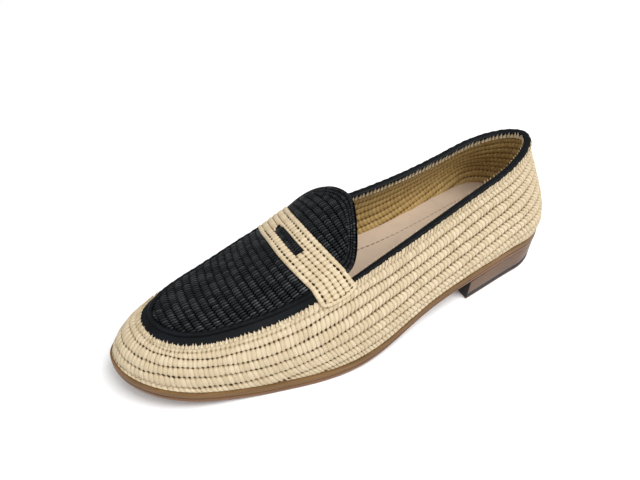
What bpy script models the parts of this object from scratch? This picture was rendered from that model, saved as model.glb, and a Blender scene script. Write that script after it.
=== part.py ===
"""Raffia penny loafer, left shoe, built as a maker builds it: a stacked heel and a sole of two
leather layers, an insole, one hollow crocheted upper, a crocheted apron that runs on into the
tongue flap, a leather piping round the apron, a leather binding round the collar and a saddle
strap with a slot.

Sizes are in millimetres and become metres only when a mesh is made. The heel's back is at Y = 0
while the shoe is shaped and the toe points to -Y; +X is the outer (lateral) side and +Z is up.
A station is a place along the sole: 0 at the heel's back, 1 at the toe's tip.
"""

from collections import namedtuple

import bmesh
import bpy
import numpy as np

METRE = 1000.0

# ---------------------------------------------------------------- driving sizes (mm)
SOLE_LENGTH = 268.0
FIT_GAP = 0.3            # between two pieces that touch

WELT_THICKNESS = 3.5
OUTSOLE_THICKNESS = 3.1
SOLE_EDGE_ROUND = 0.7    # how far the sole's lower edge turns in
WAIST_BEVEL = 2.0        # how much further it turns in at the waist
WAIST_STATION = 0.38
WAIST_SPAN = 0.12
WELT_MARGIN = 1.2        # the welt stands out this far beyond the upper

SOLE_BACK = -0.0095      # station of the sole's back edge
HEEL_LEDGE = 2.4         # how much further the sole stands out at its back
LEDGE_SPAN = 0.05

HEEL_BREAST = 0.262      # station of the heel's front face
HEEL_INSET = 0.4
HEEL_TAPER = 0.8
LIFT_THICKNESS = 2.4
TIP_THICKNESS = 1.0

INSOLE_THICKNESS = 1.8
INSOLE_BEVEL = 1.1       # how far its upper edge turns in
UPPER_WALL = 2.4
APRON_WALL = 2.2
STRAP_WALL = 2.0

PIPING_RADIUS = 1.9
PIPING_FLANGE = 1.2      # thickness of the leather flange beside the roll
PIPING_WIDTH = 6.3       # from the upper's edge to the apron's edge
BINDING_DROP = 3.0       # how far the binding reaches down each face of the upper
BINDING_LEATHER = 1.1
EDGE_MARGIN = 0.4        # from the upper's edge to the apron's edge, under the strap
COLLAR_MARGIN = 3.6      # and where the flap passes the binding's end

STRAP_FRONT = 0.630      # stations of the strap's ends at the seam
STRAP_BACK = 0.555
STRAP_CLEARANCE = 0.003  # stations between the strap and the trims that end at it
STRAP_REACH = 5.5        # how far each end goes down the upper below its edge
STRAP_LINES = (0.0, 0.16, 0.33, 0.55, 0.78, 1.0)   # mesh lines across its width
SLOT_LINE = 2            # the slot lies between this line and the next
SLOT_CELLS = 6           # and is this many cells of the arch long

TONGUE_TIP = (0.495, 78.4)   # station and height of the flap's tip
FLAP_FULLNESS = 2.4      # the larger, the squarer the flap's end
FLAP_CUT = 0.985         # share of the rounded end that is kept; the rest is a short flat

# ---------------------------------------------------------------- section tables (mm)
# Half widths of the sole's edge on the two sides of the centre line.
Outline = namedtuple("Outline", "station lateral medial")
OUTLINE = (
    Outline(0.00, 32.0, 32.5),
    Outline(0.10, 33.8, 32.4),
    Outline(0.25, 39.6, 27.5),
    Outline(0.40, 45.4, 27.0),
    Outline(0.55, 53.0, 36.0),
    Outline(0.68, 49.6, 36.4),
    Outline(0.80, 42.8, 31.6),
    Outline(0.90, 42.0, 29.8),
    Outline(1.00, 42.0, 29.8),
)
HEEL_ROUND = 0.116       # length of the rounded heel and toe, as shares of the sole
TOE_ROUND = 0.25
TOE_POWER = 2.2

# Height of the sole's underside: level under the heel, flat at the ball, rising to the toe.
Tread = namedtuple("Tread", "station height")
TREAD = (
    Tread(0.00, 15.8),
    Tread(0.12, 15.7),
    Tread(0.25, 14.6),
    Tread(0.38, 10.2),
    Tread(0.50, 3.6),
    Tread(0.60, 0.6),
    Tread(0.66, 0.0),
    Tread(0.74, 0.0),
    Tread(0.82, 2.6),
    Tread(0.91, 7.6),
    Tread(1.00, 13.2),
)

# The upper's top edge: the collar from the heel to the strap, then the apron seam to the toe.
Edge = namedtuple("Edge", "station lateral medial height")
EDGE = (
    Edge(0.03, 16.5, 16.5, 77.0),
    Edge(0.12, 18.5, 17.6, 71.4),
    Edge(0.25, 22.2, 18.2, 63.2),
    Edge(0.38, 27.6, 20.4, 56.8),
    Edge(0.50, 32.6, 25.6, 51.8),
    Edge(0.60, 35.8, 30.8, 47.2),
    Edge(0.68, 33.8, 29.8, 40.0),
    Edge(0.76, 31.0, 24.8, 36.5),
    Edge(0.84, 26.6, 20.9, 34.6),
    Edge(0.93, 25.4, 20.6, 36.4),
)
COLLAR_BACK = 0.041      # stations of the edge's two ends
APRON_FRONT = 0.926
COLLAR_ROUND = 0.14
APRON_ROUND = 0.12

# How the upper's wall leaves the sole (flare, outwards) and how it reaches its edge on the two
# sides (lean, inwards), all in degrees from upright.
Wall = namedtuple("Wall", "station flare lateral medial")
WALL = (
    Wall(0.00, 27.0, 14.0, 14.0),
    Wall(0.15, 22.0, 12.0, 12.0),
    Wall(0.35, 14.0, 14.0, 14.0),
    Wall(0.50, 12.0, 26.0, 24.0),
    Wall(0.62, 9.0, 40.0, 32.0),
    Wall(0.75, 2.0, 54.0, 36.0),
    Wall(0.90, -11.0, 64.0, 40.0),
    Wall(1.00, -15.0, 74.0, 74.0),
)
WALL_FULLNESS = 0.38     # length of the wall curve's handles, as a share of its chord

# The apron's rows across, by the station of their lateral end: height at the centre, how far
# the centre bows ahead of the two ends, and how far the medial end stands ahead of the other.
Ridge = namedtuple("Ridge", "station height bow skew")
RIDGE = (
    Ridge(0.547, 64.3, 5.8, 4.0),
    Ridge(0.622, 56.0, 5.8, 4.0),
    Ridge(0.68, 50.4, 4.8, 3.2),
    Ridge(0.76, 44.6, 3.8, 2.0),
    Ridge(0.84, 41.2, 2.6, 1.0),
    Ridge(0.93, 38.6, 0.0, 0.0),
)

# ---------------------------------------------------------------- mesh counts
LOOP_CELLS = 40          # cells along each side of the sole and the upper
LOOP_CROWDING = 0.45     # how much closer together they stand at the heel and the toe
TRIM_CLEARANCE = 0.4     # a trim's second section stands at least this part of a cell from its end
WALL_CELLS = 11
APRON_FRONT_ROWS = 15
FLAP_ROWS = 8
APRON_CELLS = 16
STRAP_END_CELLS = 3


# ---------------------------------------------------------------- plain mathematics
def spline(rows, column):
    """A natural cubic spline through one column of a table, as a function of the station."""
    x = np.array([row.station for row in rows], float)
    y = np.array([getattr(row, column) for row in rows], float)
    step = np.diff(x)
    count = len(x)
    system = np.eye(count)
    load = np.zeros(count)
    for i in range(1, count - 1):
        system[i, i - 1:i + 2] = step[i - 1], 2 * (step[i - 1] + step[i]), step[i]
        load[i] = 6 * ((y[i + 1] - y[i]) / step[i] - (y[i] - y[i - 1]) / step[i - 1])
    bend = np.linalg.solve(system, load)

    def value(station):
        s = np.clip(station, x[0], x[-1])
        i = np.clip(np.searchsorted(x, s) - 1, 0, count - 2)
        a = (x[i + 1] - s) / step[i]
        b = (s - x[i]) / step[i]
        curve = (a**3 - a) * bend[i] + (b**3 - b) * bend[i + 1]
        return a * y[i] + b * y[i + 1] + curve * step[i] ** 2 / 6

    return value


def unit(vectors):
    return vectors / np.linalg.norm(vectors, axis=-1, keepdims=True)


def round_end(distance, length, power=2.0):
    """Share of the full width at a distance from a rounded end: 0 at the end, 1 past length."""
    inner = np.clip(1 - distance / length, 0, 1)
    return np.sqrt(1 - inner**power)


sole_half = {1: spline(OUTLINE, "lateral"), -1: spline(OUTLINE, "medial")}
edge_half = {1: spline(EDGE, "lateral"), -1: spline(EDGE, "medial")}
edge_height = spline(EDGE, "height")
tread_curve = spline(TREAD, "height")
flare_angle = spline(WALL, "flare")
lean_angle = {1: spline(WALL, "lateral"), -1: spline(WALL, "medial")}
ridge_height = spline(RIDGE, "height")
row_bow = spline(RIDGE, "bow")
row_skew = spline(RIDGE, "skew")


def tread(station):
    """Height of the sole's underside; the ball's stretch is pressed flat onto the floor."""
    return np.maximum(tread_curve(station), 0.0)


def sole_width(side, station):
    back = round_end(station - SOLE_BACK, HEEL_ROUND)
    rounded = back * round_end(1 - station, TOE_ROUND, TOE_POWER)
    return sole_half[side](station) * rounded


def welt_margin(station):
    """How far the sole stands out beyond the foot of the upper."""
    return WELT_MARGIN + HEEL_LEDGE * np.exp(-(((station - SOLE_BACK) / LEDGE_SPAN) ** 2))


def edge_width(side, station):
    back = round_end(station - COLLAR_BACK, COLLAR_ROUND)
    front = round_end(APRON_FRONT - station, APRON_ROUND, TOE_POWER)
    return edge_half[side](station) * back * front


# ---------------------------------------------------------------- loops in plan
def side_line(side, width, height, first, last):
    """One side of a closed loop, from its back pole to its front pole, evenly cut by length.

    The station follows half a cosine wave, which gives both rounded ends enough points.
    Returns shares of the length, stations, points and outward directions in plan.
    """
    turn = np.linspace(0, np.pi, 361)
    station = first + (last - first) * (1 - np.cos(turn)) / 2
    points = np.stack([side * width(side, station), -station * SOLE_LENGTH, height(station)], 1)
    along = unit(np.gradient(points[:, :2], axis=0))
    outward = np.stack([-along[:, 1], along[:, 0], np.zeros(len(turn))], 1) * side
    outward[0] = 0, 1, 0
    outward[-1] = 0, -1, 0
    lengths = np.linalg.norm(np.diff(points, axis=0), axis=1)
    share = np.concatenate([[0], np.cumsum(lengths)])
    return {"share": share / share[-1], "station": station, "point": points, "out": outward}


def read(line, share, name):
    """One column of a side line at the given shares of its length."""
    column = line[name]
    if column.ndim == 1:
        return np.interp(share, line["share"], column)
    return np.stack([np.interp(share, line["share"], column[:, k]) for k in range(3)], -1)


def share_at(line, station):
    return np.interp(station, line["station"], line["share"])


def row_end(side, station):
    """Share of the edge loop where one end of the row across at this station lies."""
    ahead = row_skew(station) / SOLE_LENGTH if side < 0 else 0.0
    return float(share_at(TOP[side], station + ahead))


def sole_top(station):
    return tread(station) + OUTSOLE_THICKNESS + FIT_GAP + WELT_THICKNESS


FEATHER = {s: side_line(s, sole_width, lambda t: sole_top(t) + FIT_GAP, SOLE_BACK, 1) for s in (1, -1)}
TOP = {s: side_line(s, edge_width, edge_height, COLLAR_BACK, APRON_FRONT) for s in (1, -1)}


def rib(side, share):
    """The four Bezier points of the upper's wall where it stands at this share of the loop.

    The wall leaves the sole flaring outwards, swells, and reaches its edge leaning inwards.
    """
    margin = welt_margin(read(FEATHER[side], share, "station"))[:, None]
    foot = read(FEATHER[side], share, "point") - margin * read(FEATHER[side], share, "out")
    head = read(TOP[side], share, "point")
    foot_out = unit(read(FEATHER[side], share, "out"))
    handle = WALL_FULLNESS * np.linalg.norm(head - foot, axis=-1, keepdims=True)
    flare = np.radians(flare_angle(read(FEATHER[side], share, "station")))[:, None]
    up = np.array([0.0, 0.0, 1.0])
    first = foot + handle * (foot_out * np.sin(flare) + up * np.cos(flare))
    second = head - handle * rise(side, share)
    return foot, first, second, head


def rise(side, share):
    """Direction in which the wall reaches its edge: up, and leaning inwards."""
    lean = np.radians(lean_angle[side](read(FEATHER[side], share, "station")))[:, None]
    inward = -unit(read(TOP[side], share, "out"))
    return inward * np.sin(lean) + np.array([0.0, 0.0, 1.0]) * np.cos(lean)


def wall(side, share, height):
    """Points of the upper's outer face, height 0 at the sole and 1 at the edge."""
    foot, first, second, head = rib(side, share)
    q = np.asarray(height, float)[..., None]
    return ((1 - q) ** 3 * foot + 3 * (1 - q) ** 2 * q * first
            + 3 * (1 - q) * q**2 * second + q**3 * head)


def edge_frame(side, share):
    """Point on the upper's edge, direction along the face past the edge, and face normal."""
    point = read(TOP[side], share, "point")
    ahead = rise(side, share)
    lean = np.radians(lean_angle[side](read(FEATHER[side], share, "station")))[:, None]
    out = unit(read(TOP[side], share, "out"))
    normal = out * np.cos(lean) + np.array([0.0, 0.0, 1.0]) * np.sin(lean)
    return point, ahead, normal


def loop_lines():
    """Shares of the loop's length where the mesh lines of one side stand."""
    even = np.linspace(0, 1, LOOP_CELLS + 1)
    return even - LOOP_CROWDING * np.sin(2 * np.pi * even) / (2 * np.pi)


def both_sides(make):
    """Runs make(side, shares) down the lateral side to the toe and back up the medial side."""
    lateral = make(1, loop_lines())
    medial = make(-1, loop_lines()[1:-1])[::-1]
    return np.concatenate([lateral, medial])


# ---------------------------------------------------------------- meshes
def material(name, colour, roughness):
    made = bpy.data.materials.new(name)
    made.use_nodes = True
    shader = made.node_tree.nodes["Principled BSDF"]
    shader.inputs["Base Color"].default_value = (*colour, 1.0)
    shader.inputs["Roughness"].default_value = roughness
    shader.inputs["Metallic"].default_value = 0.0
    return made


def add_object(name, points, faces, finish, closed=True):
    """A smooth-shaded object in the shoe's collection, under the empty at its base."""
    mesh = bpy.data.meshes.new(name)
    mesh.from_pydata((np.asarray(points) / METRE).tolist(), [], faces)
    work = bmesh.new()
    work.from_mesh(mesh)
    bmesh.ops.remove_doubles(work, verts=work.verts, dist=0.00001)
    bmesh.ops.dissolve_degenerate(work, edges=work.edges, dist=0.00001)
    if closed:
        bmesh.ops.recalc_face_normals(work, faces=work.faces)
    work.to_mesh(mesh)
    work.free()
    mesh.shade_smooth()
    mesh.set_sharp_from_angle(angle=0.7)
    made = bpy.data.objects.new(name, mesh)
    made.data.materials.append(finish)
    shoe_parts.objects.link(made)
    made.parent = base
    return made


def thicken(shell, thickness, even=True):
    """Gives an open outer face its wall, laid inwards."""
    solid = shell.modifiers.new("wall", "SOLIDIFY")
    solid.thickness = thickness / METRE
    solid.offset = -1.0
    solid.use_even_offset = even
    solid.use_quality_normals = True


def grid_faces(rows, columns, wrap=False, skip=()):
    """Quads between neighbouring rows; each column pair in skip is left open."""
    faces = []
    for r in range(rows - 1):
        for c in range(columns if wrap else columns - 1):
            if (r, c) in skip:
                continue
            d = (c + 1) % columns
            faces.append((r * columns + c, (r + 1) * columns + c,
                          (r + 1) * columns + d, r * columns + d))
    return faces


def plate(name, rings, finish):
    """A closed plate through rings of matching points, capped by strips from side to side."""
    count = len(rings[0])
    points = np.concatenate(rings)
    faces = grid_faces(len(rings), count, wrap=True)
    for start in (0, (len(rings) - 1) * count):
        for i in range(count // 2):
            strip = [i, i + 1, (count - i - 1) % count, (count - i) % count]
            corners = list(dict.fromkeys(strip))
            if len(corners) > 2:
                faces.append([start + k for k in corners])
    return add_object(name, points, faces, finish)


def tube(name, sections, finish):
    """A closed bar through matching section polygons, capped at both ends."""
    rows, columns = len(sections), len(sections[0])
    faces = grid_faces(rows, columns, wrap=True)
    faces.append(tuple(range(columns)))
    faces.append(tuple((rows - 1) * columns + k for k in range(columns)))
    return add_object(name, np.concatenate(sections), faces, finish)


# ---------------------------------------------------------------- sole, heel and insole
def sole_ring(inset, height):
    """The sole's outline, moved inwards by inset(station), at height(station)."""
    def make(side, share):
        line = FEATHER[side]
        station = read(line, share, "station")
        point = read(line, share, "point") - read(line, share, "out") * inset(station)[:, None]
        point[:, 2] = height(station)
        return point
    return both_sides(make)


def waist_bevel(station):
    return WAIST_BEVEL * np.exp(-(((station - WAIST_STATION) / WAIST_SPAN) ** 2))


def steady(value):
    return lambda station: np.full_like(station, value)


def make_outsole(finish):
    top = OUTSOLE_THICKNESS
    rings = [
        sole_ring(lambda s: SOLE_EDGE_ROUND + waist_bevel(s), tread),
        sole_ring(lambda s: 0.15 + 0.35 * waist_bevel(s), lambda s: tread(s) + 0.35 * top),
        sole_ring(steady(0.0), lambda s: tread(s) + top),
    ]
    plate("outsole", rings, finish)


def make_welt(finish):
    low = OUTSOLE_THICKNESS + FIT_GAP
    rings = [
        sole_ring(steady(0.2), lambda s: tread(s) + low),
        sole_ring(steady(0.0), lambda s: tread(s) + low + 0.35 * WELT_THICKNESS),
        sole_ring(steady(0.25), lambda s: tread(s) + low + WELT_THICKNESS),
    ]
    plate("welt", rings, finish)


def make_insole(finish):
    gap = UPPER_WALL + FIT_GAP + 0.2
    low = OUTSOLE_THICKNESS + WELT_THICKNESS + 2 * FIT_GAP
    rings = [
        sole_ring(lambda s: welt_margin(s) + gap, lambda s: tread(s) + low),
        sole_ring(lambda s: welt_margin(s) + gap + INSOLE_BEVEL,
                  lambda s: tread(s) + low + INSOLE_THICKNESS),
    ]
    plate("insole", rings, finish)


def heel_ring(inset, height):
    """The sole's outline from the breast round the back, as a closed ring."""
    cells = 14

    def half(side):
        line = FEATHER[side]
        share = share_at(line, HEEL_BREAST) * np.linspace(0, 1, cells + 1)
        station = read(line, share, "station")
        point = read(line, share, "point") - read(line, share, "out") * inset
        point[:, 2] = height(station)
        return point

    return np.concatenate([half(1), half(-1)[:0:-1]])


def make_heel(stack_finish, lift_finish, tip_finish):
    lift_top = TIP_THICKNESS + FIT_GAP + LIFT_THICKNESS
    low = lift_top + FIT_GAP
    full = HEEL_INSET + HEEL_TAPER

    def level(value):
        return lambda station: np.full_like(station, value)

    plate("heel_tip", [heel_ring(full + 0.2, level(0.0)),
                       heel_ring(full, level(TIP_THICKNESS))], tip_finish)
    plate("heel_lift", [heel_ring(full, level(TIP_THICKNESS + FIT_GAP)),
                        heel_ring(full, level(lift_top))], lift_finish)
    plate("heel_stack", [heel_ring(full, level(low)),
                         heel_ring(HEEL_INSET, lambda s: tread(s) - FIT_GAP)], stack_finish)


# ---------------------------------------------------------------- upper and its trims
def make_upper(finish):
    rows = []
    for q in np.linspace(0, 1, WALL_CELLS + 1):
        rows.append(both_sides(lambda side, share: wall(side, share, np.full(len(share), q))))
    points = np.concatenate(rows)
    faces = grid_faces(len(rows), 2 * LOOP_CELLS, wrap=True)
    thicken(add_object("upper", points, faces, finish, closed=False), UPPER_WALL)


def trim_shares(station, pole):
    """Sides and shares of a trim's sections, from this station round a pole of the edge.

    The sections stand where the upper has its own mesh lines, so the trim follows it closely.
    """
    lines = loop_lines()
    halves = {}
    for side in (1, -1):
        end = row_end(side, station)
        clear = TRIM_CLEARANCE / LOOP_CELLS
        passed = lines > end + clear if pole else lines < end - clear
        half = np.sort(np.append(lines[passed], end))
        halves[side] = [(side, share) for share in (half if pole else half[::-1])]
    return halves[1] + halves[-1][-2::-1]


def section_bar(section, shares):
    """Section polygons (ahead, normal) set along the edge, lateral to toe or heel to medial.

    What lies behind the edge (a negative ahead) follows the upper's topmost row of faces.
    """
    flat = np.asarray(section)
    past, behind, away = np.maximum(flat[:, :1], 0), np.maximum(-flat[:, :1], 0), flat[:, 1:]
    placed = []
    for side, share in shares:
        place = np.array([share])
        point, ahead, normal = edge_frame(side, place)
        down = unit(wall(side, place, np.array([1 - 1 / WALL_CELLS])) - point)
        placed.append(point + past * ahead + behind * down + away * normal)
    return placed


def make_piping(finish):
    """A leather roll on a flat flange that fills the seam between upper and apron."""
    centre, lift = PIPING_WIDTH - PIPING_RADIUS - FIT_GAP, 0.3
    arc = np.radians(np.linspace(215, -50, 9))
    roll = [(centre + PIPING_RADIUS * np.cos(a), lift + PIPING_RADIUS * np.sin(a)) for a in arc]
    section = [(FIT_GAP, -FIT_GAP)] + roll + [(FIT_GAP, -FIT_GAP - PIPING_FLANGE)]
    shares = trim_shares(STRAP_FRONT + STRAP_CLEARANCE, 1)
    tube("apron_piping", section_bar(section, shares), finish)


def make_binding(finish):
    """A leather strip folded over the collar's edge, open below for the upper's wall."""
    inner = UPPER_WALL / 2 + FIT_GAP
    outer = inner + BINDING_LEATHER
    shift = -UPPER_WALL / 2
    section = [(-BINDING_DROP, outer), (0.2, outer), (1.3, outer - 0.9), (1.3, 0.9 - outer),
               (0.2, -outer), (-BINDING_DROP, -outer), (-BINDING_DROP, -inner),
               (FIT_GAP, -inner), (FIT_GAP, inner), (-BINDING_DROP, inner)]
    section = [(ahead, normal + shift) for ahead, normal in section]
    shares = trim_shares(STRAP_BACK - STRAP_CLEARANCE, 0)
    tube("collar_binding", section_bar(section, shares), finish)


def apron_row(lateral, medial, centre, cells):
    """An arched row between two ends through a centre point."""
    c = np.linspace(1, -1, cells + 1)[:, None]
    middle = (lateral + medial) / 2
    return middle + (lateral - medial) / 2 * c + (centre - middle) * (1 - c**2)


def seam_row(station, margin):
    """A row across at this station, whose ends lie margin mm past the upper's edge.

    The arch spans the width between the piping; where margin is less than the piping's width
    the row runs on, straight along the upper's own direction, towards the upper's edge.
    """
    inner, outer = [], []
    for side in (1, -1):
        point, ahead, _ = edge_frame(side, np.array([row_end(side, station)]))
        inner.append(point[0] + PIPING_WIDTH * ahead[0])
        outer.append(point[0] + margin * ahead[0])
    forward = -(inner[0][1] + inner[1][1]) / 2 + row_bow(station)
    centre = np.array([(inner[0][0] + inner[1][0]) / 2, -forward, ridge_height(station)])
    arch = apron_row(inner[0], inner[1], centre, APRON_CELLS)
    return np.concatenate([outer[:1], arch, outer[1:]])


def strap_station(across):
    return STRAP_FRONT + (STRAP_BACK - STRAP_FRONT) * across


def flap_rows():
    """The tongue flap: rows that narrow to a rounded tip while their centre climbs."""
    first = seam_row(STRAP_BACK, COLLAR_MARGIN)
    start = first[len(first) // 2]
    tip = np.array([start[0], -TONGUE_TIP[0] * SOLE_LENGTH, TONGUE_TIP[1]])
    rows = []
    for g in 1 - (1 - np.linspace(0, 1, FLAP_ROWS + 1)[1:]) ** 1.5:
        centre = start + (tip - start) * g
        share = np.sqrt(1 - (FLAP_CUT * g) ** FLAP_FULLNESS)
        rows.append(centre + (first - start) * np.array([share, share * (1 - 2 * g), share**2]))
    return rows


def make_apron(finish):
    """The plug over the toes, the saddle's base and the flap, as one shell."""
    turn = np.linspace(0, 1, APRON_FRONT_ROWS + 1)[:-1]
    fronts = APRON_FRONT - (APRON_FRONT - STRAP_FRONT) * turn**1.7
    rows = [seam_row(station, PIPING_WIDTH) for station in fronts]
    rows.append(seam_row(STRAP_FRONT, PIPING_WIDTH))
    rows += [seam_row(strap_station(across), EDGE_MARGIN) for across in STRAP_LINES[1:-1]]
    rows.append(seam_row(STRAP_BACK, COLLAR_MARGIN))
    rows += flap_rows()
    faces = grid_faces(len(rows), len(rows[0]))
    shell = add_object("apron", np.concatenate(rows), faces, finish, closed=False)
    thicken(shell, APRON_WALL, even=False)


def make_strap(finish):
    """The saddle strap: over the apron and down onto the upper at both ends, with its slot."""
    rows = []
    for across in STRAP_LINES:
        station = strap_station(across)
        ends = {}
        for side in (1, -1):
            place = row_end(side, station)
            drops = np.linspace(STRAP_REACH * end_round(across), 0, STRAP_END_CELLS + 1)[:-1]
            heights = 1 - drops / wall_length(side, place)
            ends[side] = wall(side, np.full(STRAP_END_CELLS, place), heights)
        rows.append(np.concatenate([ends[1], seam_row(station, 0.0), ends[-1][::-1]]))
    points = np.array(rows)
    points = points + surface_normals(points) * (FIT_GAP + STRAP_WALL)
    columns = points.shape[1]
    first = (columns - 1 - SLOT_CELLS) // 2
    slot = {(SLOT_LINE, column) for column in range(first, first + SLOT_CELLS)}
    faces = grid_faces(len(rows), columns, skip=slot)
    shell = add_object("strap", points.reshape(-1, 3), faces, finish, closed=False)
    thicken(shell, STRAP_WALL)


def end_round(across):
    """Share of the strap end's reach kept at this place across it: its corners are rounded."""
    return 0.35 + 0.65 * np.sqrt(1 - abs(2 * across - 1) ** 2.5)


def wall_length(side, place):
    """Length of the wall's curve, from the sole to the edge, at one place."""
    line = wall(side, np.full(20, place), np.linspace(0, 1, 20))
    return np.linalg.norm(np.diff(line, axis=0), axis=1).sum()


def surface_normals(grid):
    """Unit normals of a grid of points whose rows run back and columns run inwards."""
    across = np.gradient(grid, axis=1)
    along = np.gradient(grid, axis=0)
    return unit(np.cross(along, across))


# ---------------------------------------------------------------- the whole shoe
def clear_scene():
    for item in list(bpy.data.objects):
        bpy.data.objects.remove(item, do_unlink=True)


def centre_base():
    """Moves the empty so that the shoe stands at the centre of its own footprint."""
    bpy.context.view_layer.update()
    depsgraph = bpy.context.evaluated_depsgraph_get()
    corners = []
    for part in shoe_parts.objects:
        if part.type == "MESH":
            mesh = part.evaluated_get(depsgraph).data
            corners += [part.matrix_world @ vertex.co for vertex in mesh.vertices]
    spots = np.array(corners)
    low, high = spots.min(0), spots.max(0)
    base.location = -(low[0] + high[0]) / 2, -(low[1] + high[1]) / 2, -low[2]


clear_scene()
shoe_parts = bpy.data.collections.new("raffia_loafer")
bpy.context.scene.collection.children.link(shoe_parts)
base = bpy.data.objects.new("base", None)
shoe_parts.objects.link(base)

natural_raffia = material("natural_raffia", (0.76, 0.60, 0.38), 0.6)
black_raffia = material("black_raffia", (0.02, 0.022, 0.026), 0.5)
black_leather = material("black_leather", (0.015, 0.016, 0.02), 0.4)
sole_leather = material("sole_leather", (0.17, 0.085, 0.045), 0.45)
welt_leather = material("welt_leather", (0.25, 0.16, 0.08), 0.5)
heel_leather = material("heel_leather", (0.20, 0.12, 0.08), 0.45)
lift_rubber = material("lift_rubber", (0.05, 0.05, 0.05), 0.7)
lining_leather = material("lining_leather", (0.62, 0.47, 0.37), 0.55)

make_outsole(sole_leather)
make_welt(welt_leather)
make_heel(heel_leather, lift_rubber, sole_leather)
make_insole(lining_leather)
make_upper(natural_raffia)
make_apron(black_raffia)
make_piping(black_leather)
make_binding(black_leather)
make_strap(natural_raffia)
centre_base()
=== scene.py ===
"""Raffia penny loafer, left shoe: the visible pieces, their finishes and a plain studio.

The crocheted pieces are surfaces worked out from the same last as the frame: rows of stitches
follow the upper's edge, the apron and the strap. Lengths in the functions are millimetres in the
shaping frame (heel's back at Y = 0, toe towards -Y, outer side +X, Z up) until a mesh is made.
A station is a place along the sole, from 0 at the heel to 1 at the toe. A share is a place
along one side's line, from 0 at its back pole to 1 at its front pole.
"""

import math
from collections import namedtuple

import bmesh
import bpy
import numpy as np
from mathutils import Matrix, Vector


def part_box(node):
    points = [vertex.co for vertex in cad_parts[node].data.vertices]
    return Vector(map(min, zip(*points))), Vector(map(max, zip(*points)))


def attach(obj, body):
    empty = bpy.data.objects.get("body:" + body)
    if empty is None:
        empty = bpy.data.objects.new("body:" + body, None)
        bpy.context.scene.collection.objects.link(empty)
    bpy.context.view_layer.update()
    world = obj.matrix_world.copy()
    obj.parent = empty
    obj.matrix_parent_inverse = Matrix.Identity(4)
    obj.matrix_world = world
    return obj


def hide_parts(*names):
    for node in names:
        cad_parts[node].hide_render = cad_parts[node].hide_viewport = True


bl_info = {
    "name": "Raffia loafer looks",
    "version": (1, 0, 0),
    "blender": (4, 5, 0),
    "location": "View3D > Sidebar > Loafer",
    "description": "Crochet, leather and studio for a raffia penny loafer",
    "category": "Object",
}

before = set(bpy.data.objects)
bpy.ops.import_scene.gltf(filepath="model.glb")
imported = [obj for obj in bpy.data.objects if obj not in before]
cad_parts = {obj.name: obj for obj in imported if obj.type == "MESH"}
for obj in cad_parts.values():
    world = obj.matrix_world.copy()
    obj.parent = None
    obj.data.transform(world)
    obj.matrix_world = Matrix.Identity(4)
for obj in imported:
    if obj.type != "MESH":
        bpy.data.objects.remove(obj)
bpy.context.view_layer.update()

METRE = 1000.0
WELD = 0.000004
OUTER, INNER = 1, -1
SIDES = (OUTER, INNER)
UP = np.array([0.0, 0.0, 1.0])

# The last, in mm, as in the frame
SOLE_LENGTH = 268.0
SOLE_BACK = -0.0095
HEEL_LEDGE = 2.4
LEDGE_SPAN = 0.05
FIT_GAP = 0.3
WELT_THICKNESS = 3.5
OUTSOLE_THICKNESS = 3.1
SOLE_EDGE_ROUND = 0.7
WAIST_BEVEL = 2.0
WAIST_STATION = 0.38
WAIST_SPAN = 0.12
WELT_MARGIN = 1.2
HEEL_BREAST = 0.262
BREAST_LINE = 0.0627
HEEL_INSET = 0.4
HEEL_TAPER = 0.8
LIFT_THICKNESS = 2.4
TIP_THICKNESS = 1.0
INSOLE_THICKNESS = 1.8
UPPER_WALL = 2.4
APRON_WALL = 2.2
STRAP_WALL = 2.0
PIPING_WIDTH = 6.3
COLLAR_MARGIN = 3.6
STRAP_FRONT = 0.630
STRAP_BACK = 0.555
COLLAR_BACK = 0.041
APRON_FRONT = 0.926
COLLAR_ROUND = 0.14
APRON_ROUND = 0.12
HEEL_ROUND = 0.116
TOE_ROUND = 0.25
TOE_POWER = 2.2
WALL_FULLNESS = 0.38
EDGE_SAG = 2.2
SAG_STATION = 0.635
SAG_SPAN = 0.045
LOOP_CROWDING = 0.45
LINE_SAMPLES = 721
RIB_SAMPLES = 81


def table(fields, *rows):
    """Rows with named fields, the first of them a station."""
    row = namedtuple("Row", fields)
    return [row(*values) for values in rows]


OUTLINE = table(
    "station lateral medial",
    (0.00, 32.0, 32.5), (0.10, 33.8, 32.4), (0.25, 39.6, 27.5), (0.40, 45.4, 27.0),
    (0.55, 53.0, 36.0), (0.68, 49.6, 36.4), (0.80, 42.8, 31.6), (0.90, 42.0, 29.8),
    (1.00, 42.0, 29.8))
TREAD = table(
    "station height",
    (0.00, 15.8), (0.12, 15.7), (0.25, 14.6), (0.38, 10.2), (0.50, 3.6), (0.60, 0.6),
    (0.66, 0.0), (0.74, 0.0), (0.82, 2.6), (0.91, 7.6), (1.00, 13.2))
EDGE = table(
    "station lateral medial height",
    (0.03, 16.5, 16.5, 77.0), (0.12, 18.5, 17.6, 71.4), (0.25, 22.2, 18.2, 63.2),
    (0.38, 27.6, 20.4, 56.8), (0.50, 32.6, 25.6, 51.8), (0.60, 35.8, 30.8, 47.2),
    (0.68, 33.8, 29.8, 40.0), (0.76, 31.0, 24.8, 36.5), (0.84, 26.6, 20.9, 34.6),
    (0.93, 25.4, 20.6, 36.4))
WALL = table(
    "station flare lateral medial",
    (0.00, 27.0, 14.0, 14.0), (0.15, 22.0, 12.0, 12.0), (0.35, 14.0, 14.0, 14.0),
    (0.50, 12.0, 26.0, 24.0), (0.62, 9.0, 40.0, 32.0), (0.75, 2.0, 54.0, 36.0),
    (0.90, -11.0, 64.0, 40.0), (1.00, -15.0, 74.0, 74.0))
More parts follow.
